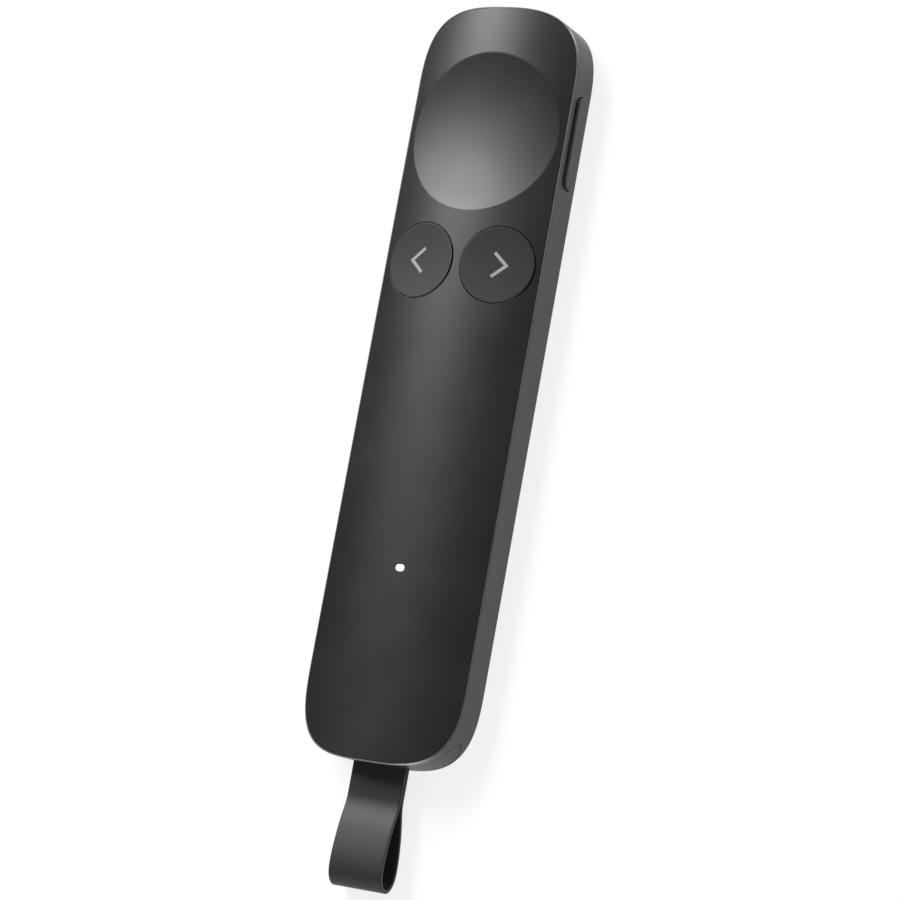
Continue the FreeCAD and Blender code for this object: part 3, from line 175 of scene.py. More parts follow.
def outlineTables():
    # run, x, y and end share along the outline, clockwise from the middle of the head to itself;
    # each end is |x/a|^n + |y/b|^n = 1, and the end share says how far an inset moves y
    turn = (1 - np.cos(np.linspace(0, np.pi, casing["cornerSteps"]))) / 2 * (np.pi / 2)
    corners = []
    for end, long, power in ((1, "headCorner", "headPower"), (-1, "tailCorner", "tailPower")):
        x = halfWide * np.clip(np.cos(turn), 0, 1) ** (2 / casing[power])
        share = np.sin(turn) ** (2 / casing[power])
        x[-1] = 0
        y = end * (halfLong - casing[long] + casing[long] * share)
        corners.append((x, y, end * share))
    (headX, headY, headShare), (tailX, tailY, tailShare) = corners
    x = np.concatenate([headX[::-1], tailX])
    y = np.concatenate([headY[::-1], tailY])
    share = np.concatenate([headShare[::-1], tailShare])
    x = np.concatenate([x, -x[-2::-1]])
    y = np.concatenate([y, y[-2::-1]])
    share = np.concatenate([share, share[-2::-1]])
    run = np.concatenate([[0], np.cumsum(np.hypot(np.diff(x), np.diff(y)))])
    return run, x, y, share


outlineRun, outlineX, outlineY, outlineShare = outlineTables()
girth = outlineRun[-1]
tailPart = outlineY < -halfLong / 2


def outlineAt(run, inset):
    # the outline's place at a run, drawn in by inset: its x times 1 less inset over half the width,
    # its y less the end share times inset
    run = np.asarray(run, float) % girth
    x = np.interp(run, outlineRun, outlineX) * (1 - inset / halfWide)
    y = np.interp(run, outlineRun, outlineY) - np.interp(run, outlineRun, outlineShare) * inset
    return x, y


def runOfY(y):
    # the run at which the right-hand side reaches y
    half = outlineRun <= girth / 2
    return float(np.interp(-y, -outlineY[half], outlineRun[half]))


def gridFaces(rows, columns):
    # quads between each row and the next; the last column joins the first
    row, column = np.meshgrid(np.arange(rows - 1), np.arange(columns), indexing="ij")
    after = (column + 1) % columns
    a = row * columns + column
    b = row * columns + after
    return np.stack([a, b, b + columns, a + columns], -1).reshape(-1, 4)


def cappedTube(grid):
    # rings joined in their order, with one flat face on the first ring and one on the last
    count = grid.shape[1]
    ends = list(range(count))
    return [(grid, gridFaces(len(grid), count)), (grid[0], [ends]), (grid[-1], [ends[::-1]])]


def insideRing(points, ring):
    # even-odd rule: a point is inside where a line to its right crosses the ring an odd number of times
    ahead = np.roll(ring, -1, axis=0)
    px, py = points[:, :1], points[:, 1:2]
    crosses = (ring[:, 1] > py) != (ahead[:, 1] > py)
    rise = np.where(ahead[:, 1] == ring[:, 1], joining["level"], ahead[:, 1] - ring[:, 1])
    at = ring[:, 0] + (py - ring[:, 1]) * (ahead[:, 0] - ring[:, 0]) / rise
    return (crosses & (px < at)).sum(1) % 2 == 1


def insidePlan(points, rings):
    # inside the first ring and outside all the others
    inside = insideRing(points, rings[0])
    for hole in rings[1:]:
        inside &= ~insideRing(points, hole)
    return inside


def nearest(points, targets, scale=(1, 1)):
    # least squared distance from each point to the targets in steps of scale, and that target's number
    across = (targets[:, 0] - points[:, :1]) / scale[0]
    along = (targets[:, 1] - points[:, 1:2]) / scale[1]
    gap = across ** 2 + along ** 2
    return gap.min(1), gap.argmin(1)


def ringEdges(rings):
    # an edge from each place of a ring to the next, numbered through all the rings
    edges, start = [], 0
    for ring in rings:
        at = np.arange(len(ring))
        edges += np.column_stack([start + at, start + (at + 1) % len(ring)]).tolist()
        start += len(ring)
    return edges


def triangulate(spots, edges, rings):
    # Delaunay triangles that keep the edges, where their middles lie in the plan
    result = delaunay_2d_cdt([Vector(spot) for spot in spots], edges, [], 1, joining["plan"])
    flat = np.array([tuple(spot) for spot in result[0]])
    triangles = np.array(result[2])
    return flat, triangles[insidePlan(flat[triangles].mean(1), rings)]


def fillPlan(rings, lattice):
    # flat triangles in a plan, on a lattice of the given steps that keeps off the edges
    edgePoints = np.concatenate(rings)
    low, high = rings[0].min(0), rings[0].max(0)
    xs = np.arange(low[0] + lattice[0] / 2, high[0], lattice[0])
    ys = np.arange(low[1] + lattice[1] / 2, high[1], lattice[1])
    spots = np.stack(np.meshgrid(xs, ys, indexing="ij"), -1).reshape(-1, 2)
    spots = spots[insidePlan(spots, rings)]
    gap, _ = nearest(spots, edgePoints, lattice)
    spots = spots[gap > joining["offEdge"]]
    return triangulate(np.concatenate([edgePoints, spots]), ringEdges(rings), rings)


def addObject(name, data):
    # an object of that data, linked to the scene
    thing = bpy.data.objects.new(name, data)
    bpy.context.scene.collection.objects.link(thing)
    return thing


def makePiece(name, parts, body, slotName, nodes, sharp=joining["sharp"]):
    # joins patches of (places, faces) into one closed mesh: places that nearly touch become one,
    # faces turn outwards, and edges sharper than an angle stay sharp
    points, faces, start = [], [], 0
    for partPoints, partFaces in parts:
        points.append(np.asarray(partPoints, float).reshape(-1, 3))
        faces += (np.asarray(partFaces) + start).tolist()
        start += len(points[-1])
    mesh = bpy.data.meshes.new(name)
    mesh.from_pydata((np.concatenate(points) * mm).tolist(), [], faces)
    work = bmesh.new()
    work.from_mesh(mesh)
    bmesh.ops.remove_doubles(work, verts=work.verts, dist=joining["merge"] * mm)
    bmesh.ops.dissolve_degenerate(work, dist=joining["sliver"] * mm, edges=work.edges)
    bmesh.ops.recalc_face_normals(work, faces=work.faces)
    loose = sum(1 for edge in work.edges if not edge.is_manifold)
    work.to_mesh(mesh)
    work.free()
    mesh.shade_smooth()
    mesh.set_sharp_from_angle(angle=math.radians(sharp))
    piece = addObject(name, mesh)
    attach(piece, body)
    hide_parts(*nodes)
    mesh.materials.append(finishes[slotName])
    print("  ", name, len(mesh.polygons), "faces, open edges", loose)
    return piece


def quarterRound(small, steps):
    # how far each ring of a rounded edge is drawn in and sunk, from the flat side to the wall
    turn = np.linspace(0, np.pi / 2, steps)
    return list(zip(small * (1 - np.sin(turn)), small * (1 - np.cos(turn))))


def circle(radius, count, x=0.0, y=0.0):
    # ring of places: the middle plus the radius times cosine and sine of an even turn
    turn = np.linspace(0, 2 * np.pi, count, endpoint=False)
    return np.stack([x + radius * np.cos(turn), y + radius * np.sin(turn)], -1)


def stadium(halfLongSide, halfTall, count, x=0.0, y=0.0):
    # a half circle of radius halfTall at both ends of a straight run
    places = joining["stadiumSide"]
    turn = np.linspace(-np.pi / 2, np.pi / 2, count // 2 - places)
    straight = halfLongSide - halfTall
    right = np.stack([straight + halfTall * np.cos(turn), halfTall * np.sin(turn)], -1)
    side = np.linspace(straight, -straight, places + 2)[1:-1]
    top = np.stack([side, np.full(places, halfTall)], -1)
    half = np.concatenate([right, top])
    return np.concatenate([half, -half]) + np.array([x, y])


def buttonFrame(side):
    # centre, two axes and outward direction of a button: on the crown and square to it
    x = side * buttons["apart"]
    tilt = math.asin(x / crownRadius)
    centre = np.array([x, buttons["place"], float(crownHeight(x))])
    across = np.array([math.cos(tilt), 0, -math.sin(tilt)])
    outward = np.array([math.sin(tilt), 0, math.cos(tilt)])
    return centre, across, np.array([0.0, 1.0, 0.0]), outward


def placed(local, side):
    # a button's own coordinates carried into the casing's: centre plus each times its axis
    centre, across, along, outward = buttonFrame(side)
    return centre + local[..., :1] * across + local[..., 1:2] * along + local[..., 2:] * outward


def buttonHole(side, draw):
    # the rim of a button's hole, drawn out: a circle in the button's plane, sunk by the crown's fall;
    # the hole's wall runs straight inwards from it
    radius = buttons["radius"] + buttons["gap"] + draw
    flat = circle(radius, buttons["holeSteps"])
    spots = placed(np.column_stack([flat, -crownFall(flat[:, 0])]), side)
    return spots, np.tile(-buttonFrame(side)[3], (len(spots), 1))


def uprightRim(planRing):
    # a plan ring lifted onto the crown, whose wall falls straight down
    x, y = planRing
    return np.stack([x, y, crownHeight(x)], -1), np.tile(np.array([0.0, 0.0, -1.0]), (len(x), 1))


def coverRims():
    # the front cover's outer edge and its holes, each as a function of how far it is drawn in
    runs = np.linspace(0, girth, casing["ringSteps"], endpoint=False)
    dishSteps, dishPlace = dishPad["ringSteps"], dishPad["place"]

    def dishRing(draw):
        return circle(dishPad["radius"] + draw * coverPlate["dishDraw"], dishSteps, 0, dishPlace).T

    def lampRing(draw):
        half, tall = lamp["long"] / 2 + lamp["gap"] + draw, lamp["wide"] / 2 + lamp["gap"] + draw
        return stadium(half, tall, lamp["ringSteps"], 0, lamp["place"]).T

    return [
        lambda draw: uprightRim(outlineAt(runs, coverEdge + draw)),
        lambda draw: uprightRim(dishRing(draw)),
        lambda draw: buttonHole(-1, draw),
        lambda draw: buttonHole(1, draw),
        lambda draw: uprightRim(lampRing(draw)),
    ]


def frontCover():
    # crowned plate: each rim is a quarter round and a wall; between them the plan is filled
    # and lifted onto the crown, above and below
    small, thick = coverPlate["round"], coverPlate["thick"]
    parts, topRings, footRings = [], [], []
    for rim in coverRims():
        rows = [rim(small + more)[0] for more in coverPlate["shadeRings"]]
        for draw, sink in quarterRound(small, coverPlate["roundSteps"]):
            spots, fall = rim(draw)
            rows.append(spots + fall * sink)
        spots, fall = rim(0)
        rows.append(spots + fall * thick)
        parts.append((np.array(rows), gridFaces(len(rows), len(spots))))
        topRings.append(rows[0])
        footRings.append(rows[-1])
    for rings, sink in ((topRings, 0), (footRings, thick)):
        flat, triangles = fillPlan([ring[:, :2] for ring in rings], coverPlate["lattice"])
        edgeSpots = np.concatenate(rings)
        z = crownHeight(flat[:, 0]) - sink
        gap, match = nearest(flat, edgeSpots)
        onEdge = gap < joining["onEdge"]
        z[onEdge] = edgeSpots[match[onEdge], 2]
        parts.append((np.column_stack([flat, z]), triangles))
    return makePiece("frontCoverShell", parts, "casing", "cover", ["front_cover"])


def wallTop(run):
    # height of the frame's top edge: the crown at the bevel's inner edge
    return crownHeight(outlineAt(run, sideBand["bevel"])[0])


def wallOutside(place):
    # run and height laid on the outline, drawn in by what the bevels take off near both edges
    run, z = place[:, 0], place[:, 1]
    bevel = sideBand["bevel"]
    fromTop = wallTop(run) - z
    inset = np.clip(bevel - fromTop, 0, bevel) + np.clip(bevel - z, 0, bevel)
    x, y = outlineAt(run, inset)
    return np.column_stack([x, y, z])


def wallInside(place):
    # run and height laid on the outline, drawn in by the lip beside the covers and by the wall between
    run, z = place[:, 0], place[:, 1]
    fromTop = wallTop(run) - z
    deep = (fromTop > coverPlate["thick"] + sideBand["coverFit"]) & (z > sideBand["shelf"][1])
    x, y = outlineAt(run, np.where(deep, sideBand["wall"], casing["lip"]))
    return np.column_stack([x, y, z])


def clearOf(line, holes, margin):
    # places outside every hole and more than a margin from its ring, across or up
    clear = np.ones(len(line), bool)
    for hole in holes:
        clear &= ~insideRing(line, hole)
        clear &= np.abs(hole[None] - line[:, None]).max(2).min(1) > margin
    return clear


def wallPatch(fromRun, toRun, holes):
    # the side wall as a strip of run and height, filled once and laid on the outline twice:
    # outside with its bevels, inside with the steps that the covers sit in
    columns = int((toRun - fromRun) / sideBand["column"]) + 1
    runs = np.linspace(fromRun, toRun, columns)
    bevel, near = sideBand["bevel"], sideBand["coverRows"]
    below, _, above = sideBand["shelf"]
    top = wallTop(runs)
    step = top - coverPlate["thick"] - sideBand["coverFit"]
    under, over = step - near, step + near
    levels = np.array([
        np.zeros(columns), np.full(columns, bevel), np.full(columns, below), np.full(columns, above),
        under, over, top - bevel, top,
    ])
    rungs = np.linspace(0, 1, sideBand["rungs"])[1:-1]

    def sideHeights(end):
        ladder = rungs * (top[end] - sideBand["rungShort"]) + sideBand["rungFoot"]
        return np.sort(np.concatenate([levels[:, end], ladder]))[1:-1]

    first, last = sideHeights(0), sideHeights(-1)
    border = np.concatenate([
        np.column_stack([runs, levels[0]]),
        np.column_stack([np.full(len(last), toRun), last]),
        np.column_stack([runs, levels[-1]])[::-1],
        np.column_stack([np.full(len(first), fromRun), first[::-1]]),
    ])
    rings = [border] + holes
    edges = ringEdges(rings)
    spots, start = list(rings), sum(len(ring) for ring in rings)
    for level in levels[1:-1]:
        line = np.column_stack([runs[1:-1], level[1:-1]])
        clear = clearOf(line, holes, sideBand["rimClear"])
        number = np.cumsum(clear) - 1 + start
        both = clear[:-1] & clear[1:]
        edges += np.column_stack([number[:-1], number[1:]])[both].tolist()
        spots.append(line[clear])
        start += int(clear.sum())
    for share in np.linspace(*sideBand["rows"]):
        level = above + share * (under - above)
        line = np.column_stack([runs[1:-1], level[1:-1]])
        spots.append(line[clearOf(line, holes, sideBand["rowClear"])])
    flat, triangles = triangulate(np.concatenate(spots), edges, rings)
    parts = [(wallOutside(flat), triangles), (wallInside(flat), triangles)]
    for ring in rings:
        parts.append((np.array([wallOutside(ring), wallInside(ring)]), gridFaces(2, len(ring))))
    return parts


def keyHole():
    # stadium on the right-hand wall, in run and height, a gap larger than the key; its middle is
    # the mean of the runs 1 mm to either side
    place, gap = dishPad["place"], sideKey["gap"]
    middle = (runOfY(place + 1) + runOfY(place - 1)) / 2
    half, tall = sideKey["long"] / 2 + gap, sideKey["tall"] / 2 + gap
    return stadium(half, tall, sideKey["holeSteps"], middle, sideKey["middle"])


def plugRing(grow, steps):
    # the plug's stadium seen along Y, drawn out: half circles at both ends and straight sides
    half, tall = tailPlug["half"] + grow, tailPlug["tall"] / 2 + grow
    turn = np.linspace(-np.pi / 2, np.pi / 2, steps[0])
    side = np.linspace(1, -1, steps[1])[1:-1] * (half - tall)
    right = np.column_stack([half - tall + tall * np.cos(turn), tall * np.sin(turn)])
    ring = np.concatenate([right, np.column_stack([side, np.full(len(side), tall)])])
    return np.concatenate([ring, -ring]) + np.array([0, tailPlug["middle"]])


def tailHole():
    # the plug's ring, a gap larger, with each x replaced by the run at which the tail has it
    ring = plugRing(tailPlug["gap"], tailPlug["holeSteps"])
    order = np.argsort(-outlineX[tailPart])
    run = np.interp(-ring[:, 0], -outlineX[tailPart][order], outlineRun[tailPart][order])
    return np.column_stack([run, ring[:, 1]])


def maskBevelHighlight(piece):
    # face attribute that is 1 on the bevels: the faces whose normal leans between up and sideways; it masks
    # the painted highlight
    faces = piece.data.polygons
    normals = np.empty(len(faces) * 3, np.float32)
    faces.foreach_get("normal", normals)
    lean = np.abs(normals.reshape(-1, 3)[:, 2])
    low, high = sideBand["bevelLean"]
    highlightMask = piece.data.attributes.new("bevelHighlightMask", "FLOAT", "FACE")
    highlightMask.data.foreach_set("value", ((lean > low) & (lean < high)).astype(np.float32))
    return piece


def sideFrame():
    # the wall from the head seam round the tail and back, with the holes of key and plug
    seam = runOfY(casing["headSeam"])
    parts = wallPatch(seam, girth - seam, [keyHole(), tailHole()])
    return maskBevelHighlight(makePiece("sideFrameBand", parts, "casing", "frame", ["side_frame"]))


def headCap():
    # the wall round the head, a seam away from the frame
    seam = runOfY(casing["headSeam"] + casing["seam"])
    parts = wallPatch(girth - seam, girth + seam, [])
    return maskBevelHighlight(makePiece("headCapBand", parts, "casing", "window", ["head_cap"]))


def rearCover():
    # flat sheet in the outline drawn in by lip and seam, its outer edge a quarter round
    runs = np.linspace(0, girth, casing["ringSteps"], endpoint=False)
    rounds = quarterRound(rearSheet["round"], rearSheet["roundSteps"])
    rows = []
    for draw, rise in rounds + [(0, rearSheet["thick"])]:
        x, y = outlineAt(runs, coverEdge + draw)
        rows.append(np.column_stack([x, y, np.full(len(x), rise)]))
    parts = [(np.array(rows), gridFaces(len(rows), len(runs)))]
    for row in (rows[0], rows[-1]):
        flat, triangles = fillPlan([row[:, :2]], rearSheet["lattice"])
        parts.append((np.column_stack([flat, np.full(len(flat), row[0, 2])]), triangles))
    return makePiece("rearCoverSheet", parts, "casing", "cover", ["rear_cover"])


def turned(profile, count):
    # a profile of (radius, height) turned about Z: one ring for each of its places
    turn = np.linspace(0, 2 * np.pi, count, endpoint=False)
    radius, height = np.array(profile).T
    x = radius[:, None] * np.cos(turn)
    y = radius[:, None] * np.sin(turn)
    return np.stack([x, y, np.broadcast_to(height[:, None], x.shape)], -1)


def pointerPad():
    # disc whose top follows the scoop: rings from the middle out, a small round, a wall and a flat foot
    radius, small = dishPad["radius"] - dishPad["gap"], dishPad["round"]
    count = dishPad["ringSteps"]
    flat = [(share * (radius - small), 0) for share in np.linspace(0, 1, dishPad["rings"])]
    edge = [(radius - draw, -sink) for draw, sink in quarterRound(small, dishPad["roundSteps"])[1:]]
    rings = turned(flat + edge, count)
    rings[..., 2] += dishHeight(rings[..., 0], rings[..., 1] + dishPad["place"])
    wall = turned([(radius, dishPad["foot"]), (0, dishPad["foot"])], count)
    grid = np.concatenate([rings, wall])
    grid[..., 1] += dishPad["place"]
    parts = [(grid, gridFaces(len(grid), count))]
    return makePiece("pointerPadDish", parts, "pointer", "pad", ["pointer_pad"])


def buttonTop(x, y):
    # height over a button's centre: proud, less a bowl's hollow, less a share of the crown's fall
    bowl = 1 - (x ** 2 + y ** 2) / (buttons["radius"] - buttons["round"]) ** 2
    return buttons["proud"] - buttons["hollow"] * bowl - buttons["bend"] * crownFall(x)


def roundButton(name, side, body, nodes):
    # disc in the button's own frame: shallow hollow, rounded rim, straight flank, flat foot
    radius, small, proud = buttons["radius"], buttons["round"], buttons["proud"]
    count, foot = buttons["ringSteps"], buttons["proud"] - buttons["thick"]
    hollow = turned([(share * (radius - small), 0) for share in np.linspace(0, 1, buttons["rings"])], count)
    hollow[..., 2] = buttonTop(hollow[..., 0], hollow[..., 1])
    rim = turned([(radius - draw, proud - sink)
                  for draw, sink in quarterRound(small, buttons["roundSteps"])[1:]], count)
    rim[..., 2] -= buttons["bend"] * crownFall(rim[..., 0])
    grid = placed(np.concatenate([hollow, rim, turned([(radius, foot), (0, foot)], count)]), side)
    return makePiece(name, [(grid, gridFaces(len(grid), count))], body, "button", nodes)


def arrowMark(name, side, body, nodes):
    # mitred stroke on the button's top: an outer and an inner line through three corners each,
    # cut into short steps and thickened straight down
    half = arrows["stroke"] / 2
    tip = arrows["shift"] + arrows["reach"] / 2
    slope = math.atan2(arrows["spread"], arrows["reach"])
    mitre = half / math.sin(slope)
    stepX, stepY = half * math.sin(slope), half * math.cos(slope)
    tail, spread = tip - arrows["reach"], arrows["spread"]
    outer = np.array([(tail + stepX, -spread - stepY), (tip + mitre, 0), (tail + stepX, spread + stepY)])
    inner = np.array([(tail - stepX, stepY - spread), (tip - mitre, 0), (tail - stepX, spread - stepY)])
    share = np.linspace(0, 2, arrows["steps"])
    rows = []
    for lift in (arrows["proud"] - arrows["thick"], arrows["proud"]):
        for line in (outer, inner):
            x, y = np.interp(share, (0, 1, 2), line[:, 0]), np.interp(share, (0, 1, 2), line[:, 1])
            rows.append(np.column_stack([side * x, y, buttonTop(x, y) + lift]))
    loop = np.array([rows[0], rows[1], rows[3], rows[2]]).transpose(1, 0, 2)
    return makePiece(name, cappedTube(placed(loop, side)), body, "mark", nodes)


def keyPiece():
    # rings of a stadium shrinking to its middle line on the face, with a rounded edge and a straight flank
    small, halfTall = sideKey["round"], sideKey["tall"] / 2
    outer = halfWide + sideKey["proud"]
    rows = [(inset, 0) for inset in np.linspace(halfTall - sideKey["ridge"], small, sideKey["rings"])]
    rows += quarterRound(small, sideKey["roundSteps"])[1:]
    rows.append((0, outer - sideKey["back"]))
    rings = []
    for inset, sink in rows:
        ring = stadium(sideKey["long"] / 2 - inset, halfTall - inset, sideKey["ringSteps"])
        y, z = ring[:, 0] + dishPad["place"], ring[:, 1] + sideKey["middle"]
        rings.append(np.column_stack([np.full(len(ring), outer - sink), y, z]))
    return makePiece("sideKeyBar", cappedTube(np.array(rings)), "key", "key", ["side_key"])


def faceY(x):
    # the tail's own y at each x
    order = np.argsort(outlineX[tailPart])
    return np.interp(x, outlineX[tailPart][order], outlineY[tailPart][order])


def onTail(ring, sink=0.0):
    # a ring of x and height laid on the tail's face and sunk into it along Y
    return np.column_stack([ring[:, 0], faceY(ring[:, 0]) + sink, ring[:, 1]])


def acrossAt(ring, y):
    # a ring of x and height stood upright at one y
    return np.column_stack([ring[:, 0], np.full(len(ring), y), ring[:, 1]])


def slotRing():
    # the strap's slot in the plug: the strap's width and both plies, each with its fit
    half = strap["half"] + strap["slotFit"]
    tall = strap["thick"] + strap["parting"] + strap["slotFit"]
    count = tailPlug["slotSteps"]
    across = np.linspace(-half, half, count)
    foot = np.column_stack([across, np.full(count, strap["middle"] - tall)])
    top = np.column_stack([across[::-1], np.full(count, strap["middle"] + tall)])
    return np.concatenate([foot, top])


def plugPiece():
    # the plug's face is the outline itself, cut to a stadium; its walls run back along Y
    small, steps = tailPlug["round"], tailPlug["ringSteps"]
    rows = [onTail(plugRing(-draw, steps), sink)
            for draw, sink in quarterRound(small, tailPlug["roundSteps"])]
    ring = plugRing(0, steps)
    rows.append(acrossAt(ring, tailPlug["back"]))
    parts = [(np.array(rows), gridFaces(len(rows), len(ring)))]
    slot = slotRing()
    flat, triangles = fillPlan([plugRing(-small, steps), slot], tailPlug["faceLattice"])
    parts.append((onTail(flat), triangles))
    flat, triangles = fillPlan([ring], tailPlug["backLattice"])
    parts.append((acrossAt(flat, tailPlug["back"]), triangles))
    deep = -halfLong + strap["tuck"] + strap["slotFit"]
    pocket = acrossAt(slot, deep)
    parts.append((np.array([onTail(slot), pocket]), gridFaces(2, len(slot))))
    parts.append((pocket, [list(range(len(slot)))]))
    return makePiece("tailPlugCap", parts, "receiver", "plug", ["tail_plug"])


def smoothLine(points, startTangent, endTangent, count):
    # cubic through the points, parameter by chord length, slopes fixed at both ends: the inner slopes
    # make its curvature continuous, and each span blends its end places and slopes by cubics of u
    points = np.array(points, float)
    chord = np.hypot(*np.diff(points, axis=0).T)
    at = np.concatenate([[0], np.cumsum(chord)])
    size = len(points)
    table = np.zeros((size, size))
    answer = np.zeros((size, 2))
    table[0, 0] = table[-1, -1] = 1
    answer[0], answer[-1] = startTangent, endTangent
    for i in range(1, size - 1):
        before, after = chord[i - 1], chord[i]
        rise = after * (points[i] - points[i - 1]) / before + before * (points[i + 1] - points[i]) / after
        table[i, i - 1:i + 2] = after, 2 * (before + after), before
        answer[i] = 3 * rise
    slope = np.linalg.solve(table, answer)
    where = np.linspace(0, at[-1], count)
    part = np.clip(np.searchsorted(at, where, side="right") - 1, 0, size - 2)
    length = chord[part][:, None]
    u = ((where - at[part]) / chord[part])[:, None]
    near = (2 * u ** 3 - 3 * u ** 2 + 1) * points[part] + (u ** 3 - 2 * u ** 2 + u) * length * slope[part]
    far = (3 * u ** 2 - 2 * u ** 3) * points[part + 1] + (u ** 3 - u ** 2) * length * slope[part + 1]
    return near + far


def strapPath():
    # the strap's mid line in y and z: doubled plies, a drop-shaped loop, doubled plies again
    tail, half, middle, reach = -halfLong, strap["thick"] / 2, strap["middle"], strap["reach"]
    apart = half + strap["parting"]
    high, low = strap["high"] - half, strap["low"] + half
    nose = tail - reach + half
    leave, second, third, full = (tail - share * reach for share in strap["stations"])
    spread, lift = strap["flare"]
    noseBack, noseIn = strap["nose"]

    def ply(edge, up):
        # one side of the loop from the plug to the nose; up is 1 or -1
        return [
            (leave, middle + up * apart),
            (second, middle + spread * (edge - middle) + up * lift),
            (third, edge - up * strap["shoulder"]),
            (full, edge),
            (nose + noseBack, edge - up * noseIn),
        ]

    knots = ply(high, 1) + [(nose, (high + low) / 2)] + ply(low, -1)[::-1]
    loop = smoothLine(knots, (-1, 0), (1, 0), strap["loopSteps"])
    lead = np.linspace(tail + strap["tuck"], leave, strap["leadSteps"])[:-1]
    first = np.column_stack([lead, np.full(len(lead), middle + apart)])
    last = np.column_stack([lead[::-1], np.full(len(lead), middle - apart)])
    return np.concatenate([first, loop, last])


def wristStrap():
    # a flat section with rounded corners carried along the mid line, square to it
    path = strapPath()
    run = np.gradient(path, axis=0)
    run /= np.hypot(*run.T)[:, None]
    side = np.column_stack([-run[:, 1], run[:, 0]])
    half, thick, small = strap["half"], strap["thick"] / 2, strap["round"]
    turn = np.linspace(0, np.pi / 2, strap["roundSteps"])
    corner = np.column_stack([half - small + small * np.cos(turn), thick - small + small * np.sin(turn)])
    flat = np.linspace(half - small, -(half - small), strap["acrossSteps"])[1:-1]
    top = np.concatenate([corner, np.column_stack([flat, np.full(len(flat), thick)]),
                          corner[::-1] * np.array([-1, 1])])
    section = np.concatenate([top, -top])
    grid = np.empty((len(path), len(section), 3))
    grid[..., 0] = section[:, 0]
    grid[..., 1] = path[:, :1] + side[:, :1] * section[:, 1]
    grid[..., 2] = path[:, 1:] + side[:, 1:] * section[:, 1]
    return makePiece("wristStrapLoop", cappedTube(grid), "receiver", "strap", ["wrist_strap"],
                     strap["sharp"])


def lampLens():
    # short stadium bar that ends on the crown, its rim a little rounded
    half, wide, count, place = lamp["long"] / 2, lamp["wide"] / 2, lamp["ringSteps"], lamp["place"]
    rings = []
    for draw, drop in lamp["rings"]:
        ring = stadium(half - draw, wide - draw, count, 0, place)
        rings.append(np.column_stack([ring, crownHeight(ring[:, 0]) - drop]))
    ring = stadium(half, wide, count, 0, place)
    rings.append(np.column_stack([ring, np.full(len(ring), lamp["foot"])]))
    return makePiece("lampLens", cappedTube(np.array(rings)), "casing", "lamp", ["light_pipe"])


def linear(hexColour):
    # sRGB hex to the linear colour that a shader takes: c / 12.92 where dark, else
    # ((c + 0.055) / 1.055) ^ 2.4
    channels = [int(hexColour[i:i + 2], 16) / 255 for i in (1, 3, 5)]
    return tuple(c / 12.92 if c <= 0.04045 else ((c + 0.055) / 1.055) ** 2.4 for c in channels) + (1.0,)


def addNode(tree, kind, settings=None, links=None):
    # one node; settings are by property, input name or input number, links are input: (node, output)
    node = tree.nodes.new(kind)
    for key, setting in (settings or {}).items():
        if isinstance(key, int) or key in node.inputs.keys():
            node.inputs[key].default_value = setting
        else:
            setattr(node, key, setting)
    for key, (source, output) in (links or {}).items():
        tree.links.new(source.outputs[output], node.inputs[key])
    return node


def emptyMaterial(name):
    # a material and its node tree, with nothing in it
    material = bpy.data.materials.new(name)
    material.use_nodes = True
    material.node_tree.nodes.clear()
    return material, material.node_tree


speckle = {"detail": 3.0, "roughness": 0.6, "low": 0.94, "high": 1.06}  # the fine noise
mottle = {"patch": 9.0, "detail": 2.0, "roughSwing": 0.05}              # the slow noise, patches in mm


def surface(name, colour, roughness, grain, depth, shade=0.12, metallic=0.0, specular=0.5, extra=None):
    # a moulded or blasted surface: colour x (1 -+ shade) by slow noise x a speck by fine noise,
    # roughness -+ its swing by the slow noise, and the fine noise as a bump of that depth
    material, tree = emptyMaterial(name)
    place = addNode(tree, "ShaderNodeTexCoord")
    fine = addNode(tree, "ShaderNodeTexNoise",
                   {"Scale": 1 / (grain * mm), "Detail": speckle["detail"],
                    "Roughness": speckle["roughness"]},
                   {"Vector": (place, "Object")})
    slow = addNode(tree, "ShaderNodeTexNoise",
                   {"Scale": 1 / (mottle["patch"] * mm), "Detail": mottle["detail"]},
                   {"Vector": (place, "Object")})
    base = linear(colour)
    dark = tuple(c * (1 - shade) for c in base[:3]) + (1.0,)
    light = tuple(min(1.0, c * (1 + shade)) for c in base[:3]) + (1.0,)
    blend = addNode(tree, "ShaderNodeMix", {"data_type": "RGBA", 6: dark, 7: light}, {0: (slow, "Fac")})
    speck = addNode(tree, "ShaderNodeMapRange", {"To Min": speckle["low"], "To Max": speckle["high"]},
                    {"Value": (fine, "Fac")})
    tint = addNode(tree, "ShaderNodeMix", {"data_type": "RGBA", "blend_type": "MULTIPLY", 0: 1.0},
                   {6: (blend, 2), 7: (speck, "Result")})
    swing = mottle["roughSwing"]
    rough = addNode(tree, "ShaderNodeMapRange",
                    {"To Min": roughness - swing, "To Max": roughness + swing}, {"Value": (slow, "Fac")})
    bump = addNode(tree, "ShaderNodeBump", {"Strength": 1.0, "Distance": depth * mm},
                   {"Height": (fine, "Fac")})
    shader = addNode(tree, "ShaderNodeBsdfPrincipled",
                     {"Metallic": metallic, "Specular IOR Level": specular, **(extra or {})},
                     {"Base Color": (tint, 2), "Roughness": (rough, "Result"), "Normal": (bump, "Normal")})
    addNode(tree, "ShaderNodeOutputMaterial", {}, {"Surface": (shader, "BSDF")})
    return material


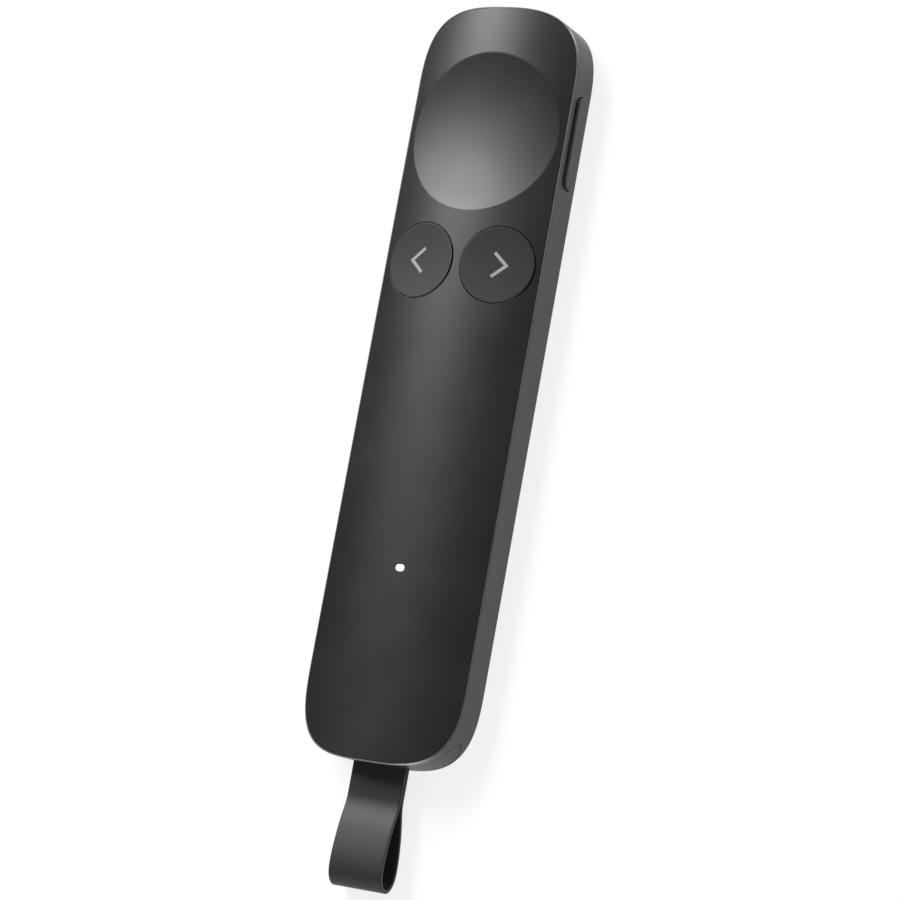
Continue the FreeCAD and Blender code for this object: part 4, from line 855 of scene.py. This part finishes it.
finishes = {
    # each row: name, colour, roughness, then the grain's width and depth in mm
    # bead-blasted, graphite-anodised aluminium: broad soft reflections with a very fine grain
    "cover": surface("anodisedFace", "#3b3b3c", 0.38, 0.30, 0.006, metallic=1.0, shade=0.04),
    # the frame is the same metal as the cover, painted lighter: painted light on the side wall, which
    # reflects the floor's shadow
    "frame": surface("anodisedFramePaintedLighter", "#4b4b4c", 0.36, 0.30, 0.005, metallic=1.0, shade=0.04),
    "pad": surface("anodisedScoop", "#353536", 0.37, 0.30, 0.006, metallic=1.0, shade=0.04),
    # painted polycarbonate, matched to the metal beside it
    "window": surface("paintedWindow", "#3b3b3c", 0.36, 0.30, 0.005, metallic=0.9, shade=0.04),
    # spark-eroded ABS: darker and duller than the metal round it
    "button": surface("mouldedButton", "#1d1d1e", 0.44, 0.32, 0.012, shade=0.05, specular=0.30),
    "key": surface("mouldedKey", "#333334", 0.42, 0.32, 0.010, shade=0.05, specular=0.45),
    "plug": surface("mouldedPlug", "#2e2e2f", 0.44, 0.32, 0.010, shade=0.05, specular=0.45),
    # screen-printed ink: pale, flat and dry
    "mark": surface("printedMark", "#8e8e8e", 0.60, 0.25, 0.004, shade=0.03, specular=0.3),
    # pressed silicone: dry, slightly velvety
    "strap": surface("siliconeStrap", "#1e1e1f", 0.50, 0.40, 0.012, shade=0.10, specular=0.34,
                     extra={"Sheen Weight": 0.10, "Sheen Roughness": 0.5}),
    # clear polycarbonate lit from below: an even white glow
    "lamp": surface("litLens", "#f4f4f2", 0.30, 0.30, 0.002, shade=0.02,
                    extra={"Emission Color": linear("#ffffff"), "Emission Strength": lamp["glow"]}),
    # glass-filled nylon: matt black
    "moulding": surface("nylonTray", "#1b1b1c", 0.60, 0.35, 0.02, specular=0.4),
    # solder-masked glass laminate: glossy dark green
    "board": surface("solderMask", "#12352a", 0.30, 0.80, 0.02, shade=0.25),
    # moulded epoxy: dull near-black
    "package": surface("epoxyPackage", "#1a1a1b", 0.55, 0.25, 0.01),
    # cold-rolled steel: bright grey with soft reflections
    "steel": surface("rolledSteel", "#b4b4b6", 0.30, 0.30, 0.004, metallic=1.0),
    # laminated foil pouch: satin silver
    "cell": surface("foilPouch", "#a9aaad", 0.34, 1.20, 0.03, metallic=0.8, shade=0.08),
    # closed-cell foam: black, with no shine
    "foam": surface("cellFoam", "#1c1c1c", 0.90, 0.50, 0.06, specular=0.2),
    # polyimide film: amber, glossy
    "flex": surface("polyimideFilm", "#a8641c", 0.28, 0.60, 0.004),
    # acrylic adhesive film: dark satin
    "tape": surface("adhesiveFilm", "#202020", 0.50, 0.50, 0.01),
    # nickel plate: near mirror, a little warm
    "magnet": surface("nickelPlate", "#c2c0ba", 0.18, 0.30, 0.002, metallic=1.0),
}


def paintBevelHighlight(material, colour):
    # painted highlight on the bevels: where the mask is 1, a lighter colour replaces the wall's,
    # so that the bevels draw the fine bright line that the lights' reflection draws there
    tree = material.node_tree
    shader = tree.nodes["Principled BSDF"]
    highlightMask = addNode(tree, "ShaderNodeAttribute", {"attribute_name": "bevelHighlightMask"})
    plain = shader.inputs["Base Color"].links[0].from_node
    tint = addNode(tree, "ShaderNodeMix", {"data_type": "RGBA", 7: linear(colour)},
                   {0: (highlightMask, "Fac"), 6: (plain, 2)})
    tree.links.new(tint.outputs[2], shader.inputs["Base Color"])


# the painted bevel highlight goes on the frame and on the head cap
for slotName in ("frame", "window"):
    paintBevelHighlight(finishes[slotName], sideBand["bevelHighlight"])
print("materials made:", len(finishes))

pieces = [
    frontCover(), sideFrame(), headCap(), rearCover(), pointerPad(),
    roundButton("backButtonDisc", -1, "back_press", ["back_button"]),
    roundButton("nextButtonDisc", 1, "next_press", ["next_button"]),
    arrowMark("backArrow", -1, "back_press", ["back_mark"]),
    arrowMark("nextArrow", 1, "next_press", ["next_mark"]),
    keyPiece(), plugPiece(), wristStrap(), lampLens(),
]
print("pieces made:", len(pieces))

# The inner parts keep their CAD shapes and take the finish of their record slot.
for part in frame["record"]["subparts"]:
    node = frame["nodes"][part["node"]]
    if not node.material_slots:
        node.data.materials.append(None)
    for place in node.material_slots:
        place.material = finishes[part["material_slot"]]

# The studio: a pale floor, one long soft box up and to the left of the head, two low lights and a
# dim surround.
studio = {
    "softBoxFrom": (-0.62, 0.79, 0.82),  # metres from the clicker
    "softBoxSize": (0.45, 0.9),
    "softBoxGlow": 21.0,                 # radiance of its face
    "edgeLights": [                      # small low lights that draw the bevels at both ends
        {"name": "tailLight", "from": (0.05, -1.00, 0.36), "size": (1.2, 0.2), "glow": 5.0},
        {"name": "headLight", "from": (0.60, 0.80, 0.40), "size": (0.75, 0.25), "glow": 4.5},
    ],
    "surround": 0.3,
    "floor": "#f2f2f2",
    "floorReach": 4,
    "floorDrop": 0.00002,                # keeps the floor off the clicker's back
    "floorLift": 0.82,                   # share of plain white that camera and reflections see in it
}
camera = {
    "place": (0.25198, -0.08664, 0.44822),
    "aim": (0.00044, -0.01073, 0.0),
    "up": (-0.0863, 0.9732, 0.2132),     # the picture's upward direction
    "lens": 121.787,
    "sensor": 36.0,
}
white = (1, 1, 1, 1)


def pointAt(thing, place, aim, up):
    # axes from cross products: Z back from the aim, X square to up and Z, Y square to both
    back = (Vector(place) - Vector(aim)).normalized()
    right = Vector(up).cross(back).normalized()
    rise = back.cross(right)
    turn = Matrix((right, rise, back)).transposed().to_4x4()
    thing.matrix_world = Matrix.Translation(Vector(place)) @ turn


def paintedFloor():
    # matt white paint; where a camera, glossy or transmission ray meets it, a share of it is plain
    # white light, so that it looks nearly white and keeps its shadow
    material, tree = emptyMaterial("paintedFloor")
    matt = addNode(tree, "ShaderNodeBsdfDiffuse", {"Color": linear(studio["floor"])})
    glow = addNode(tree, "ShaderNodeEmission", {"Color": white, "Strength": 1.0})
    path = addNode(tree, "ShaderNodeLightPath")
    direct = addNode(tree, "ShaderNodeMath", {"operation": "ADD", "use_clamp": True},
                     {0: (path, "Is Camera Ray"), 1: (path, "Is Glossy Ray")})
    seen = addNode(tree, "ShaderNodeMath", {"operation": "ADD", "use_clamp": True},
                   {0: (direct, "Value"), 1: (path, "Is Transmission Ray")})
    share = addNode(tree, "ShaderNodeMath", {"operation": "MULTIPLY", 1: studio["floorLift"]},
                    {0: (seen, "Value")})
    mixed = addNode(tree, "ShaderNodeMixShader", {},
                    {0: (share, "Value"), 1: (matt, "BSDF"), 2: (glow, "Emission")})
    addNode(tree, "ShaderNodeOutputMaterial", {}, {"Surface": (mixed, "Shader")})
    return material


reach = studio["floorReach"]
floorMesh = bpy.data.meshes.new("floor")
floorMesh.from_pydata([(-reach, -reach, 0), (reach, -reach, 0), (reach, reach, 0), (-reach, reach, 0)],
                      [], [(0, 1, 2, 3)])
floorMesh.materials.append(paintedFloor())
floor = addObject("floor", floorMesh)
floor.location = (0, 0, -studio["floorDrop"])


def areaLight(name, place, size, glow):
    # a glowing rectangle that faces the clicker; its power is radiance x pi x area
    source = bpy.data.lights.new(name, "AREA")
    source.shape = "RECTANGLE"
    source.size, source.size_y = size
    source.energy = glow * math.pi * size[0] * size[1]
    pointAt(addObject(name, source), place, (0, 0, 0), (0, 1, 0))


areaLight("softBox", studio["softBoxFrom"], studio["softBoxSize"], studio["softBoxGlow"])
for light in studio["edgeLights"]:
    areaLight(light["name"], light["from"], light["size"], light["glow"])

# The world lights the clicker dimly; past the floor's edge the camera sees plain white.
world = bpy.data.worlds.new("surround")
world.use_nodes = True
backdrop = world.node_tree.nodes["Background"]
backdrop.inputs["Color"].default_value = white
rays = addNode(world.node_tree, "ShaderNodeLightPath")
strength = addNode(world.node_tree, "ShaderNodeMath", {"operation": "MAXIMUM", 1: studio["surround"]},
                   {0: (rays, "Is Camera Ray")})
world.node_tree.links.new(strength.outputs["Value"], backdrop.inputs["Strength"])
bpy.context.scene.world = world

cameraData = bpy.data.cameras.new("camera")
cameraData.lens = camera["lens"]
cameraData.sensor_width = camera["sensor"]
cameraObject = addObject("camera", cameraData)
pointAt(cameraObject, camera["place"], camera["aim"], camera["up"])
bpy.context.scene.camera = cameraObject
bpy.context.scene.view_settings.view_transform = "Standard"
print("studio and camera set")
